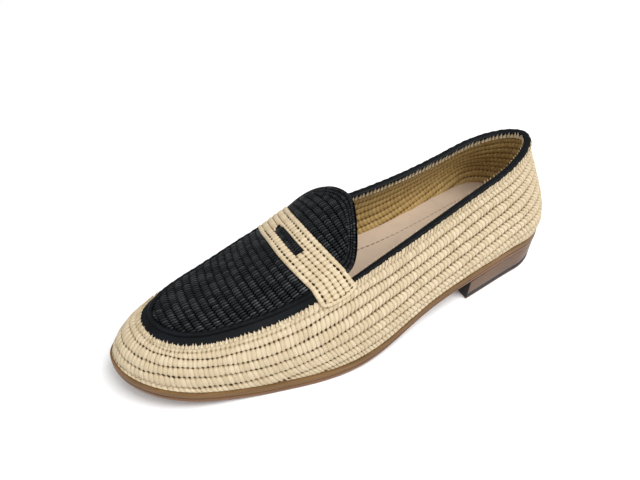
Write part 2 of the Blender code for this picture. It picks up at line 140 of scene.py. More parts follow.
RIDGE = table(
    "station height bow skew",
    (0.547, 64.3, 5.8, 4.0), (0.622, 56.0, 5.8, 4.0), (0.68, 50.4, 4.8, 3.2),
    (0.76, 44.6, 3.8, 2.0), (0.84, 41.2, 2.6, 1.0), (0.93, 38.6, 0.0, 0.0))
ROWS = table(
    "station second pitch",
    (0.00, 9.8, 5.7), (0.15, 9.5, 5.7), (0.35, 10.6, 5.6), (0.45, 10.5, 5.9), (0.55, 9.6, 6.4),
    (0.65, 9.4, 7.1), (0.75, 9.3, 7.3), (0.85, 7.9, 6.3), (1.00, 7.0, 6.1))


# Plain mathematics
def spline(rows, column):
    """A natural cubic spline through one column of a table, as a function of the station."""
    x = np.array([row.station for row in rows], float)
    y = np.array([getattr(row, column) for row in rows], float)
    step = np.diff(x)
    inner = np.arange(1, len(x) - 1)
    system = np.eye(len(x))
    system[inner, inner - 1] = step[:-1]
    system[inner, inner] = 2 * (step[:-1] + step[1:])
    system[inner, inner + 1] = step[1:]
    load = np.zeros(len(x))
    load[1:-1] = 6 * np.diff(np.diff(y) / step)
    bend = np.linalg.solve(system, load)

    def value(station):
        s = np.clip(station, x[0], x[-1])
        i = np.clip(np.searchsorted(x, s) - 1, 0, len(x) - 2)
        a = (x[i + 1] - s) / step[i]
        b = (s - x[i]) / step[i]
        curve = (a**3 - a) * bend[i] + (b**3 - b) * bend[i + 1]
        return a * y[i] + b * y[i + 1] + curve * step[i] ** 2 / 6

    return value


def both_sides(rows):
    return {OUTER: spline(rows, "lateral"), INNER: spline(rows, "medial")}


def unit(vectors):
    return vectors / np.maximum(np.linalg.norm(vectors, axis=-1, keepdims=True), 1e-9)


def bell(value, middle, reach):
    """A Gaussian bell: 1 at the middle, 1/e at a reach from it."""
    return np.exp(-(((value - middle) / reach) ** 2))


def round_end(distance, length, power=2.0):
    """Share of the full width near a rounded end: 0 at the end, 1 past length.

    It is the root of 1 - r^power, where r falls from 1 to 0 over that length.
    """
    return np.sqrt(1 - np.clip(1 - distance / length, 0, 1) ** power)


def smooth_step(low, high, value):
    """0 at low, 1 at high, and the cubic 3t^2 - 2t^3 between."""
    t = np.clip((value - low) / (high - low), 0, 1)
    return t * t * (3 - 2 * t)


def run_lengths(points, axis=1):
    """Distance run along one axis of a grid of points, starting from 0."""
    step = np.linalg.norm(np.diff(points, axis=axis), axis=-1)
    start = np.zeros_like(np.take(step, [0], axis=axis))
    return np.concatenate([start, np.cumsum(step, axis=axis)], axis=axis)


def sample_rows(distance, values, targets):
    """For each row of a grid, its values at the given distances along it.

    distance is (n, m), values (n, m, 3) and targets (n, k); the result is (n, k, 3).
    """
    count = distance.shape[1]
    index = np.clip((distance[:, None, :] <= targets[:, :, None]).sum(-1) - 1, 0, count - 2)
    rows = np.arange(len(distance))[:, None]
    low, high = distance[rows, index], distance[rows, index + 1]
    share = np.clip((targets - low) / np.maximum(high - low, 1e-9), 0, 1)[..., None]
    return values[rows, index] * (1 - share) + values[rows, index + 1] * share


def even_rows(lines, columns):
    """Rows resampled at even distances, and each point's distance from its row's middle."""
    run = run_lengths(lines)
    target = np.linspace(0, 1, columns)[None, :] * run[:, -1:]
    return sample_rows(run, lines, target), target - run[:, -1:] / 2


def smooth_along(lines, steps):
    """Lines of points averaged with their neighbours a number of times, ends kept."""
    lines = lines.copy()
    for _ in range(steps):
        lines[:, 1:-1] = (lines[:, :-2] + 2 * lines[:, 1:-1] + lines[:, 2:]) / 4
    return lines


def grid_normals(points, wrap=False):
    """Unit normals of a grid, from the cross product of its two differences."""
    if wrap:
        down = (np.roll(points, -1, 0) - np.roll(points, 1, 0)) / 2
    else:
        down = np.gradient(points, axis=0)
    return unit(np.cross(down, np.gradient(points, axis=1)))


def scatter(*numbers):
    """A repeatable value from 0 to 1 for whole numbers: the fraction of a large sine."""
    total = sum(n * k for n, k in zip(numbers, (12.9898, 78.233, 37.719)))
    value = np.sin(total) * 43758.5453
    return value - np.floor(value)


# The last's surfaces
sole_half = both_sides(OUTLINE)
edge_half = both_sides(EDGE)
lean_angle = both_sides(WALL)
flare_angle = spline(WALL, "flare")
edge_height = spline(EDGE, "height")
tread_curve = spline(TREAD, "height")
ridge_height = spline(RIDGE, "height")
row_bow = spline(RIDGE, "bow")
row_skew = spline(RIDGE, "skew")
row_second = spline(ROWS, "second")
row_pitch = spline(ROWS, "pitch")


def tread(station):
    return np.maximum(tread_curve(station), 0.0)


def sole_top(station):
    return tread(station) + OUTSOLE_THICKNESS + FIT_GAP + WELT_THICKNESS


def sole_width(side, station):
    ends = (round_end(station - SOLE_BACK, HEEL_ROUND)
            * round_end(1 - station, TOE_ROUND, TOE_POWER))
    return sole_half[side](station) * ends


def welt_margin(station):
    """How far the wall stands inside the sole's edge, more behind the heel."""
    return WELT_MARGIN + HEEL_LEDGE * bell(station, SOLE_BACK, LEDGE_SPAN)


def edge_width(side, station):
    ends = (round_end(station - COLLAR_BACK, COLLAR_ROUND)
            * round_end(APRON_FRONT - station, APRON_ROUND, TOE_POWER))
    return edge_half[side](station) * ends


def edge_level(side, station):
    """Height of the upper's edge, which sags a little on the inner side under the strap."""
    return edge_height(station) - EDGE_SAG * bell(station, SAG_STATION, SAG_SPAN) * (side < 0)


def side_line(side, width, height, first, last):
    """One side of a closed loop from its back pole to its front pole.

    The station follows half a cosine wave. The entries are the shares of length, the stations,
    the points and the outward directions in plan.
    """
    turn = np.linspace(0, np.pi, LINE_SAMPLES)
    station = first + (last - first) * (1 - np.cos(turn)) / 2
    points = np.stack([side * width(side, station), -station * SOLE_LENGTH,
                       height(side, station)], 1)
    along = unit(np.gradient(points[:, :2], axis=0))
    outward = np.stack([-along[:, 1], along[:, 0], np.zeros(len(turn))], 1) * side
    outward[0] = 0, 1, 0
    outward[-1] = 0, -1, 0
    run = run_lengths(points[None])[0]
    return {"share": run / run[-1], "station": station, "point": points, "out": outward}


def read(line, share, name):
    """One column of a side line at the given shares of its length."""
    column = line[name]
    if column.ndim == 1:
        return np.interp(share, line["share"], column)
    return np.stack([np.interp(share, line["share"], column[:, k]) for k in range(3)], -1)


FEATHER = {side: side_line(side, sole_width, lambda _, t: sole_top(t) + FIT_GAP, SOLE_BACK, 1)
           for side in SIDES}
TOP = {side: side_line(side, edge_width, edge_level, COLLAR_BACK, APRON_FRONT)
       for side in SIDES}


def row_end(side, station):
    """Share of the edge loop where one end of the row across at this station lies."""
    ahead = row_skew(station) / SOLE_LENGTH if side < 0 else 0.0
    return np.interp(station + ahead, TOP[side]["station"], TOP[side]["share"])


def edge_frame(side, share):
    """Point on the upper's edge, direction along the face past the edge, and face normal."""
    lean = np.radians(lean_angle[side](read(FEATHER[side], share, "station")))[:, None]
    out = unit(read(TOP[side], share, "out"))
    ahead = UP * np.cos(lean) - out * np.sin(lean)
    return read(TOP[side], share, "point"), ahead, out * np.cos(lean) + UP * np.sin(lean)


def wall(side, share, height):
    """Outer face of the upper, a cubic Bezier rib at each share: height 0 sole, 1 edge."""
    station = read(FEATHER[side], share, "station")
    out = unit(read(FEATHER[side], share, "out"))
    foot = read(FEATHER[side], share, "point") - welt_margin(station)[:, None] * out
    head, rise, _ = edge_frame(side, share)
    handle = WALL_FULLNESS * np.linalg.norm(head - foot, axis=-1, keepdims=True)
    flare = np.radians(flare_angle(station))[:, None]
    first = foot + handle * (out * np.sin(flare) + UP * np.cos(flare))
    second = head - handle * rise
    q = np.asarray(height, float)[None, :, None]
    return ((1 - q) ** 3 * foot[:, None] + 3 * (1 - q) ** 2 * q * first[:, None]
            + 3 * (1 - q) * q**2 * second[:, None] + q**3 * head[:, None])


def beside_edge(side, share, ahead, away):
    """Points (n, k, 3) at offsets (n, k) from the upper's edge.

    What stands ahead follows the edge's own direction; what lies behind runs down the wall.
    Both then move away from the face along its normal.
    """
    _, forward, normal = edge_frame(side, share)
    line = wall(side, share, np.linspace(1, 0.6, 61))
    spots = sample_rows(run_lengths(line), line, np.maximum(-ahead, 0))
    return (spots + np.maximum(ahead, 0)[..., None] * forward[:, None]
            + away[..., None] * normal[:, None])


def around(make, cells):
    """make(side, shares) down the outer side to the toe and back up the inner side.

    A sine wave crowds the shares towards both poles, where the outline turns fastest.
    """
    even = np.linspace(0, 1, cells + 1)
    shares = even - LOOP_CROWDING * np.sin(2 * np.pi * even) / (2 * np.pi)
    return np.concatenate([make(OUTER, shares), make(INNER, shares[1:-1])[::-1]])


# Meshes
def frame_shift():
    """Shift from the shaping frame to the frame's, in mm, from where the outsole stands."""
    low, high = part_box("outsole")
    outline = FEATHER[OUTER]["point"]
    return np.array([high.x * METRE - outline[:, 0].max(),
                     high.y * METRE - outline[:, 1].max(), low.z * METRE])


SHIFT = frame_shift()


def finish_piece(obj, finish, slot, *nodes):
    """Gives a piece its material, hides the CAD nodes it stands for and sets it on the body it
    rides on; slot, a material slot's name, is not used.
    """
    obj.data.materials.append(finish)
    bpy.context.scene.collection.objects.link(obj)
    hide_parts(*nodes)
    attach(obj, "root")
    return obj


def clean_object(mesh, outward=False, smooth=True, sharp=None):
    """An object of a mesh whose doubles and squeezed faces are merged away."""
    work = bmesh.new()
    work.from_mesh(mesh)
    bmesh.ops.remove_doubles(work, verts=work.verts, dist=WELD)
    bmesh.ops.dissolve_degenerate(work, edges=work.edges, dist=WELD)
    loose = [v for v in work.verts if not v.link_faces]
    bmesh.ops.delete(work, geom=loose, context="VERTS")
    if outward:
        bmesh.ops.recalc_face_normals(work, faces=work.faces)
    work.to_mesh(mesh)
    work.free()
    if smooth:
        mesh.shade_smooth()
    if sharp:
        mesh.set_sharp_from_angle(angle=math.radians(sharp))
    return bpy.data.objects.new(mesh.name, mesh)


def mesh_object(name, points, faces, corners=None, smooth=True):
    """An object from points (n, 3) in shaping mm, faces (f, k) and UV corners (f, k, 2)."""
    mesh = bpy.data.meshes.new(name)
    mesh.vertices.add(len(points))
    mesh.vertices.foreach_set("co", ((points + SHIFT) / METRE).astype(np.float32).ravel())
    mesh.loops.add(faces.size)
    mesh.loops.foreach_set("vertex_index", faces.astype(np.int32).ravel())
    mesh.polygons.add(len(faces))
    starts = np.arange(len(faces), dtype=np.int32) * faces.shape[1]
    mesh.polygons.foreach_set("loop_start", starts)
    if corners is not None:
        layer = mesh.uv_layers.new(name="stitches")
        layer.uv.foreach_set("vector", corners.astype(np.float32).ravel())
    mesh.update(calc_edges=True)
    return clean_object(mesh, smooth=smooth)


def closed_object(name, points, groups, sharp):
    """A closed object from points and groups of faces, smooth except where it turns sharply.

    sharp is the angle in degrees past which an edge stays crisp.
    """
    faces = [tuple(dict.fromkeys(face)) for group in groups for face in group.tolist()]
    mesh = bpy.data.meshes.new(name)
    mesh.from_pydata(((points + SHIFT) / METRE).tolist(), [],
                     [face for face in faces if len(face) > 2])
    return clean_object(mesh, outward=True, sharp=sharp)


def grid_faces(rows, columns, wrap=False):
    """Corner indices (f, 4) of a grid's quads, and their (row, column) places."""
    last = rows if wrap else rows - 1
    r, c = (part.ravel() for part in np.meshgrid(np.arange(last), np.arange(columns - 1),
                                                 indexing="ij"))
    n = (r + 1) % rows
    quads = np.stack([r * columns + c, n * columns + c, n * columns + c + 1,
                      r * columns + c + 1], 1)
    return quads, r, c


def grid_object(name, points, uv, wrap=False, keep=None, flip=False, pick=None):
    """A surface on a grid of points (n, m, 3), closed round its first axis when wrap is set.

    uv is (n or n + 1, m, 2); with wrap its extra row holds the values on closing. keep masks
    faces, flip turns them round, and pick chooses a second UV grid for some faces.
    """
    quads, r, c = grid_faces(*points.shape[:2], wrap)
    place = (np.stack([r, r + 1, r + 1, r], 1), np.stack([c, c, c + 1, c + 1], 1))
    corners = uv[place]
    if pick is not None:
        other, where = pick
        corners = np.where(where[r, c][:, None, None], other[place], corners)
    if keep is not None:
        quads, corners = quads[keep[r, c]], corners[keep[r, c]]
    if flip:
        quads, corners = quads[:, ::-1], corners[:, ::-1]
    return mesh_object(name, points.reshape(-1, 3), quads, corners)


def thicken(obj, thickness):
    """Lays the wall inwards from an open outer face."""
    solid = obj.modifiers.new("wall", "SOLIDIFY")
    solid.thickness = thickness / METRE
    solid.offset = -1.0
    solid.use_even_offset = False


def bar_object(name, sections):
    """A closed bar: sections (n, k, 3) carried along a path, with a fan of faces at each end."""
    count, turns = sections.shape[:2]
    quads, _, _ = grid_faces(count, turns + 1)
    points = np.concatenate([sections, sections[:, :1]], 1).reshape(-1, 3)
    hub = len(points)
    points = np.concatenate([points, sections[[0, -1]].mean(1)])
    ring = np.arange(turns)
    fans = [np.stack([np.full(turns, hub + end), start + ring, start + (ring + 1) % turns], 1)
            for end, start in enumerate((0, (count - 1) * (turns + 1)))]
    return closed_object(name, points, [quads, *fans], 50)


def plate_object(name, rings):
    """A closed plate through matching rings, capped by strips from side to side."""
    count = len(rings[0])
    quads, _, _ = grid_faces(len(rings), count + 1)
    points = np.concatenate([np.concatenate([ring, ring[:1]]) for ring in rings])
    i = np.arange(count // 2)
    strip = np.stack([i, i + 1, (count - i - 1) % count, (count - i) % count], 1)
    top = strip + (len(rings) - 1) * (count + 1)
    return closed_object(name, points, [quads, strip, top], 40)


# Crochet: reliefs in mm, strands counted by u and rows by v
Relief = namedtuple("Relief", "height crease pit power shallow")
SIDE_RELIEF = Relief(1.7, 0.68, 0.3, 0.5, 0.0)
TOE_RELIEF = Relief(1.2, 0.12, 1.7, 0.5, 0.62)
INSIDE_RELIEF = Relief(1.3, 0.35, 0.0, 0.5, 0.0)
APRON_RELIEF = Relief(1.35, 1.1, 0.8, 0.6, 0.2)
FLAP_RELIEF = Relief(1.3, 1.0, 1.1, 0.6, 0.15)
FLAP_ROLL_RELIEF = Relief(1.1, 0.0, 0.0, 0.5, 0.0)
FLAP_STITCH_RELIEF = Relief(1.0, 0.6, 1.1, 0.5, 0.0)
BEAD_RELIEF = Relief(1.0, 0.55, 0.6, 0.42, 0.2)
EYELET_RELIEF = Relief(1.0, 0.35, 1.8, 0.42, 0.6)
RIM_RELIEF = Relief(1.25, 0.12, 0.0, 0.5, 0.0)
END_RELIEF = Relief(1.2, 0.12, 0.0, 0.5, 0.0)

ROW_SHARES = np.array([0.0, 0.05, 0.15, 0.3, 0.5, 0.7, 0.85, 0.95])
INSIDE_SHARES = np.array([0.0, 0.12, 0.5, 0.88])
STRAND_COLUMNS = np.array([0.0, 0.08, 0.26, 0.5, 0.74, 0.92])
ROW_COUNT = 12
SPLIT_ROW = 4
WALL_CELLS = 520
TOP_BAND_SPLIT = 0.54
SIDE_BEND = 0.42
TOE_SLANT = 1.1
FAN_ROW = 3.5
FAN_CLOSING = 0.8
TOE_STATIONS = (0.5, 0.72)
TIP_STATIONS = (0.82, 0.98)
LOOSENESS = 0.9
ROW_SINK = 0.9
TOE_SINK = 0.5
ROW_WANDER = 0.26
WANDER_WAVES = ((7, 1.9, 1.0), (13, -2.6, 0.8), (29, 4.1, 0.55))
FOOT_FADE = 1.5
INSIDE_LIFT = 0.6
INSIDE_TOP_DROP = 0.5
INSIDE_TOP_ROWS = (5.0, 3.0)
FOOT_RELIEF = 0.3
FAINT_SINK = 0.45
CREASE_POWER = 0.35
PIT_REACH = (0.3, 0.12)
STRAND_RISE = (0.95, 0.1)
PIT_DEPTHS = (0.6, 0.6)


def row_lines(first, last, shares=ROW_SHARES):
    """Row numbers (with fractions) of the lines that rows first to last are built on."""
    lines = (np.arange(first, last)[:, None] + shares[None, :]).ravel()
    return np.append(lines, last)


def stitch_relief(u, v, relief, faint=None):
    """Height of crochet above its surface, in mm, from strand number u and row number v.

    Each row is a rounded cord, each strand a smaller one across it; creases deepen towards the
    lines between rows, and a pit lies where a crease meets such a line. The line numbered faint
    is only slightly sunk; shallow lifts the bottom of every groove.
    """
    row = np.floor(v)
    line = np.floor(v + 0.5)
    near = (2 * (v - row) - 1) ** 2
    near = np.where(line == faint, FAINT_SINK * near, near) * (1 - relief.shallow)
    body = np.clip(1 - near, 0, 1) ** relief.power
    dent = 1 - np.abs(np.sin(np.pi * u)) ** CREASE_POWER
    lift = STRAND_RISE[0] + STRAND_RISE[1] * scatter(np.floor(u), row)
    depth = PIT_DEPTHS[0] + PIT_DEPTHS[1] * scatter(np.round(u), line, 3.0)
    sink = bell(u, np.round(u), PIT_REACH[0]) * bell(v, line, PIT_REACH[1]) * depth
    return (relief.height * body * lift - relief.crease * dent * (0.45 + 0.55 * near)
            - relief.pit * sink)


def blend(first, second, share):
    """A relief between two others."""
    return Relief(*(a + (b - a) * share for a, b in zip(first, second)))


def row_depth(v, station):
    """Depth below the edge, in mm, of row line v: the first two rows share the top band."""
    second, pitch = row_second(station), row_pitch(station)
    top = second * np.interp(v, (0, 1, 2), (0, TOP_BAND_SPLIT, 1))
    return np.where(v > 2, second + (v - 2) * pitch, top)


def row_wander(v, cells):
    """How far row line v strays round the shoe, in mm (cells, n): hand work is never even."""
    turn = np.linspace(0, 2 * np.pi, cells, endpoint=False)[:, None]
    stray = sum(size * np.sin(waves * turn + phase * v) for waves, phase, size in WANDER_WAVES)
    return ROW_WANDER * smooth_step(0.0, 1.5, v) * stray


def strand_places(v, strand, strands, station):
    """Where the strands cross each row line, counted in strands, and the toe's share.

    Strands bend within a row at the sides, fan out beside the toe, and sit a little loosely.
    """
    ahead = smooth_step(*TOE_STATIONS, station)
    fan = ahead - FAN_CLOSING * smooth_step(*TIP_STATIONS, station)
    row = np.floor(v)
    share = v - row
    sway = SIDE_BEND * (2 * share - 1) ** 2 * (1 - ahead) + TOE_SLANT * fan * (FAN_ROW - v)
    first = np.floor(strand)
    loose = (scatter(first, row) * (1 - strand % 1)
             + scatter((first + 1) % strands, row) * (strand % 1) - 0.5)
    return (strand + sway + LOOSENESS * loose * share * (1 - share)) % strands, ahead


def along_loop(values, run, places):
    """Each column of a closed grid of values read at the given places along its run."""
    closed = np.concatenate([values, values[:1]])
    made = np.empty((len(places),) + values.shape[1:])
    for line, axis in np.ndindex(values.shape[1:]):
        made[:, line, axis] = np.interp(places[:, line], run[:, line], closed[:, line, axis])
    return made


def make_wall_skin(name, settings, first, last, inside=False):
    """One face of the crocheted wall: rows of strands parallel to the upper's edge.

    The lines of the grid lie at fixed row depths below the edge and stop at the sole. Each is
    cut at places that follow the strands, and moved along the wall's normal by their relief.
    """
    heights = np.linspace(1, 0, RIB_SAMPLES)
    base = around(lambda side, share: wall(side, share, heights), WALL_CELLS)
    depth = run_lengths(base)
    station = -base[:, :1, 1] / SOLE_LENGTH
    v = row_lines(first, last, INSIDE_SHARES if inside else ROW_SHARES)[None, :]
    wanted = row_depth(v, station) + row_wander(v, len(base))
    target = np.minimum(wanted, depth[:, -1:])
    margin = (wanted - depth[:, -1:])[..., None]
    spots = sample_rows(depth, base, target)
    normals = sample_rows(depth, grid_normals(base, wrap=True), target)
    run = run_lengths(np.concatenate([spots, spots[:1]]), axis=0)
    strands = round(float(run_lengths(base[:, :1], axis=0)[-1, 0]) / settings.stitch_pitch)
    run = run / run[-1:] * strands
    columns = INSIDE_SHARES if inside else STRAND_COLUMNS
    strand = (np.arange(strands)[:, None] + columns).reshape(-1, 1)
    there = np.interp(strand, run[:, 0], np.append(station[:, 0], station[0, 0]))
    place, ahead = strand_places(v, strand, strands, there)
    values = along_loop(np.concatenate([spots, normals, margin], 2), run, place)
    spots, normals, over = values[..., :3], unit(values[..., 3:6]), values[..., 6]
    uu, vv = np.broadcast_arrays(strand, v)
    left = smooth_step(0.0, FOOT_FADE, -over)
    if inside:
        drop = INSIDE_TOP_DROP * smooth_step(*INSIDE_TOP_ROWS, vv)
        relief = INSIDE_RELIEF._replace(height=INSIDE_RELIEF.height - drop)
        lift = INSIDE_LIFT - UPPER_WALL - stitch_relief(uu, vv, relief, 1) * left
    else:
        relief = stitch_relief(uu, vv, blend(SIDE_RELIEF, TOE_RELIEF, ahead), 1)
        lift = relief - ROW_SINK * (1 + TOE_SINK * ahead)
        lift = lift * (FOOT_RELIEF + (1 - FOOT_RELIEF) * left)
    uv = np.stack(np.broadcast_arrays(np.append(strand, strands)[:, None], v), -1)
    open_face = over[:, :-1] < -0.01
    keep = open_face | np.roll(open_face, -1, 0)
    return grid_object(name, spots + normals * lift[..., None], uv, wrap=True, keep=keep,
                       flip=inside)


# Apron and flap
APRON_FIRST_GROOVE = 3.4
APRON_TUCK = 0.9
APRON_SKEW = 0.065
APRON_SINK = 0.35
APRON_END = 3.0
APRON_CELLS = 270
STRAND_SHIFT = 0.37
UNDER_STRAP = (STRAP_FRONT + 0.006, STRAP_FRONT - 0.002)
TUCKED_STATIONS = (STRAP_FRONT - 0.004, STRAP_FRONT - 0.016)
TUCKED_MARGIN = 0.4
SKEW_FADE = (0.03, 0.08)
CALM_UNDER_STRAP = 0.7
ROW_CELLS = 64
FLAP_FULLNESS = 2.8
FLAP_CUT = 0.985
FLAP_TIP = (0.4980, 78.2)
FLAP_LEAN = 4.3
FLAP_EDGE_ROWS = 3
FLAP_EDGE_LIFT = 0.9
FLAP_RIB_LIFT = 0.8
FLAP_OVERLAP = 0.6
FLAP_SMOOTHING = 300
FLAP_CELLS = (640, 250)
FLAP_LAST_RIB = 0.975


def row_line(stations, margin):
    """Rows across the shoe (n, ROW_CELLS + 5, 3): an arch between the piping, straight ends.

    The arch is a parabola through its crest; both ends run on straight along the wall's own
    direction until they stand margin mm past the upper's edge.
    """
    stations = np.asarray(stations, float)
    margin = np.broadcast_to(margin, stations.shape)[:, None]
    ends = {}
    for side in SIDES:
        point, ahead, _ = edge_frame(side, row_end(side, stations))
        inner, outer = point + PIPING_WIDTH * ahead, point + margin * ahead
        ends[side] = np.stack([outer, (inner + outer) / 2, inner], 1)
    lateral, medial = ends[OUTER][:, 2], ends[INNER][:, 2]
    middle = (lateral + medial) / 2
    crest = np.stack([middle[:, 0], middle[:, 1] - row_bow(stations), ridge_height(stations)], 1)
    c = np.linspace(1, -1, ROW_CELLS + 1)[None, :, None]
    arch = (middle[:, None] + (lateral - medial)[:, None] / 2 * c
            + (crest - middle)[:, None] * (1 - c**2))
    return np.concatenate([ends[OUTER][:, :2], arch, ends[INNER][:, 1::-1]], 1)


def slide_rows(spots, stations, shift):
    """Rows of points (n, m, 3) slid by shift (n, m) in station, between neighbouring rows."""
    target = np.clip(stations[:, None] + shift, stations[0], stations[-1])
    index = np.clip(np.searchsorted(stations, target) - 1, 0, len(stations) - 2)
    column = np.arange(spots.shape[1])[None, :]
    low, high = stations[index], stations[index + 1]
    share = ((target - low) / (high - low))[..., None]
    return spots[index, column] * (1 - share) + spots[index + 1, column] * share


def station_rows(settings):
    """Stations and row numbers of the apron's grid lines, counted from the strap's front."""
    fine = np.linspace(STRAP_BACK, APRON_FRONT, 400)
    middle = row_line(fine, PIPING_WIDTH)
    run = run_lengths(middle[:, middle.shape[1] // 2][None])[0]
    phase = (run - np.interp(STRAP_FRONT, fine, run) - APRON_FIRST_GROOVE) / settings.rib_pitch
    v = row_lines(int(np.floor(phase[0])), int(np.ceil(phase[-1])))
    v = v[(v > phase[0]) & (v < phase[-1])]
    v = np.concatenate([[phase[0]], v, [phase[-1]]])
    return np.interp(v, phase, fine), v


def rib_counts(across, v, settings):
    """Strand and row numbers (n, m) of ribs whose points lie across mm from the middle."""
    u = across / settings.dyed_pitch + np.floor(v)[:, None] * STRAND_SHIFT
    return u, np.broadcast_to(v[:, None], u.shape)


def make_apron_skin(name, settings):
    """The ribbed apron from under the strap to the toe: rows across, each a twisted cord.

    The rows lie askew, their outer ends ahead: each point slides along the shoe in proportion
    to its distance from the middle, less and less towards both ends of the apron.
    """
    stations, v = station_rows(settings)
    under = smooth_step(*UNDER_STRAP, stations)
    edge = PIPING_WIDTH - APRON_TUCK
    margin = edge + (TUCKED_MARGIN - edge) * smooth_step(*TUCKED_STATIONS, stations)
    spots, across = even_rows(row_line(stations, margin), APRON_CELLS)
    fade = (smooth_step(STRAP_BACK, STRAP_BACK + SKEW_FADE[0], stations)
            * smooth_step(APRON_FRONT, APRON_FRONT - SKEW_FADE[1], stations))
    spots = slide_rows(spots, stations, fade[:, None] * APRON_SKEW * spots[..., 0] / SOLE_LENGTH)
    u, vv = rib_counts(across, v, settings)
    ends = smooth_step(0.0, APRON_END, np.abs(across[:, :1]) - np.abs(across))
    lift = stitch_relief(u, vv, APRON_RELIEF) - APRON_SINK
    lift = lift * (1 - CALM_UNDER_STRAP * under[:, None])
    points = spots - grid_normals(spots) * (lift * ends - 0.5 * (1 - ends))[..., None]
    return grid_object(name, points, np.stack([u, vv], -1), flip=True)


def flap_base():
    """The flap's first row, rounded where it leaves the arch, its lengths and the flap's tip."""
    first, _ = even_rows(row_line([STRAP_BACK], COLLAR_MARGIN), 201)
    first = smooth_along(first, FLAP_SMOOTHING)
    start = first[0, 100]
    tip = np.array([start[0] + FLAP_LEAN, -FLAP_TIP[0] * SOLE_LENGTH, FLAP_TIP[1]])
    return first, run_lengths(first), start, tip


def flap_size():
    """Length of the flap's superellipse and half its width, in mm."""
    _, run, start, tip = flap_base()
    return np.linalg.norm(tip - start) / FLAP_CUT, run[0, -1] / 2


def flap_share(g, least=1e-3):
    """Share of the flap's full width at a share g of its length."""
    return np.sqrt(np.clip(1 - np.clip(g, 0, 1) ** FLAP_FULLNESS, least, 1))


def flap_surface(x, y):
    """Points of the flap x mm from the strap towards its tip and y mm across from its middle.

    Each row across is the first row, narrowed towards its middle by a superellipse's share and
    flattened as it climbs the straight line to the tip.
    """
    first, run, start, tip = flap_base()
    half = run[0, -1] / 2
    g = x / np.linalg.norm(tip - start)
    share = flap_share(FLAP_CUT * g)
    target = half + np.clip(y / share, -half, half)
    offset = sample_rows(run, first, target.reshape(1, -1)).reshape(*y.shape, 3) - start
    scale = np.stack([share, share * (1 - 2 * g), share**2], -1)
    return start + (tip - start) * g[..., None] + offset * scale


def flap_normals(x, y, step=0.6):
    """Upward normals of the flap, from differences of its smooth surface along x and y."""
    length, half = flap_size()
    x = np.minimum(x, length - 3 * step)
    bound = half * flap_share(x / length) - 2 * step
    y = np.clip(y, -bound, bound)
    along = flap_surface(x + step, y) - flap_surface(x - step, y)
    across = flap_surface(x, y + step) - flap_surface(x, y - step)
    normals = unit(np.cross(along, across))
    return normals * np.sign(normals[..., 2:3])


def flap_outline(cells):
    """The flap's edge from side to side, evenly cut, with its inward directions in plan."""
    length, half = flap_size()
    turn = np.linspace(0, np.pi, 2001)
    sweep = np.abs(np.sin(turn)) ** (2 / FLAP_FULLNESS) * length * 0.999
    edge = np.stack([sweep, half * np.cos(turn)], 1)
    run = run_lengths(edge[None])[0]
    target = np.linspace(0, run[-1], cells)
    even = np.stack([np.interp(target, run, edge[:, k]) for k in (0, 1)], 1)
    along = unit(np.gradient(even, axis=0))
    inward = np.stack([-along[:, 1], along[:, 0]], 1)
    facing = (inward * (np.array([length / 3, 0]) - even)).sum(1, keepdims=True)
    return even, inward * np.sign(facing), target


def flap_object(name, x, y, u, vv, relief):
    """A part of the flap: its surface at (x, y), lifted along its normals by relief."""
    points = flap_surface(x, y) + flap_normals(x, y) * relief[..., None]
    return grid_object(name, points, np.stack([u, vv], -1), flip=True)


def make_flap_edge(name, settings):
    """Three rows that follow the flap's edge: a rolled outer row and two rows of stitches."""
    edge, inward, run = flap_outline(FLAP_CELLS[0])
    v = row_lines(0, FLAP_EDGE_ROWS)[None, :]
    place = edge[:, None] + inward[:, None] * (v * settings.flap_row)[..., None]
    u, vv = np.broadcast_arrays((run / settings.dyed_pitch)[:, None], v)
    relief = np.where(vv < 1, stitch_relief(u * 0 + 0.5, vv, FLAP_ROLL_RELIEF),
                      stitch_relief(u, vv, FLAP_STITCH_RELIEF))
    return flap_object(name, place[..., 0], place[..., 1], u, vv, relief + FLAP_EDGE_LIFT)


def make_flap_field(name, settings):
    """The ribs inside the flap's edge rows, parallel to the strap."""
    length, half = flap_size()
    inset = settings.flap_row * FLAP_EDGE_ROWS - FLAP_OVERLAP
    rows = (length - inset) / settings.rib_pitch
    v = row_lines(0, int(np.ceil(rows)))
    v = v[v < rows * FLAP_LAST_RIB]
    span = (half - inset) * flap_share(v / rows, 0.0)
    y = span[:, None] * np.linspace(1, -1, FLAP_CELLS[1])[None, :]
    x = np.broadcast_to((v * settings.rib_pitch)[:, None], y.shape)
    u, vv = rib_counts(y, v, settings)
    return flap_object(name, x, y, u, vv, stitch_relief(u, vv, FLAP_RELIEF) + FLAP_RIB_LIFT)


# Strap
STRAP_ROWS = (0.0, 2.8, 6.7, 10.1, 13.2, 16.8, 19.8)
STRAP_SHARES = np.array([0.0, 0.06, 0.17, 0.3, 0.45, 0.58, 0.7, 0.84, 0.94])
STRAP_CELLS = 440
STRAP_REACH = 6.8
STRAP_CORNER = (0.35, 2.5)
STRAP_DRIFT = 0.26
STRAP_LIFT = 0.5
STRAP_SKEW = 0.022
STRAP_TAPER = 0.9
STRAP_HOLLOW = (0.6, -5.0, 9.0)
SLOT_ROWS = (2.0, 3.58)
SLOT_ROUND = 3.6
SLOT_POWER = 1.6
SLOT_EASE = 6.0
RIM_SHARE = 0.85
PLAIN_END = (9.5, 7.0)
PLAIN_CREASE = 0.7
PLAIN_SHALLOW = 0.85
PLAIN_COUNT = 0.8
STRAP_SMOOTHING = 60
STRAP_END_CUTS = 13
TAPER_REACH = 20


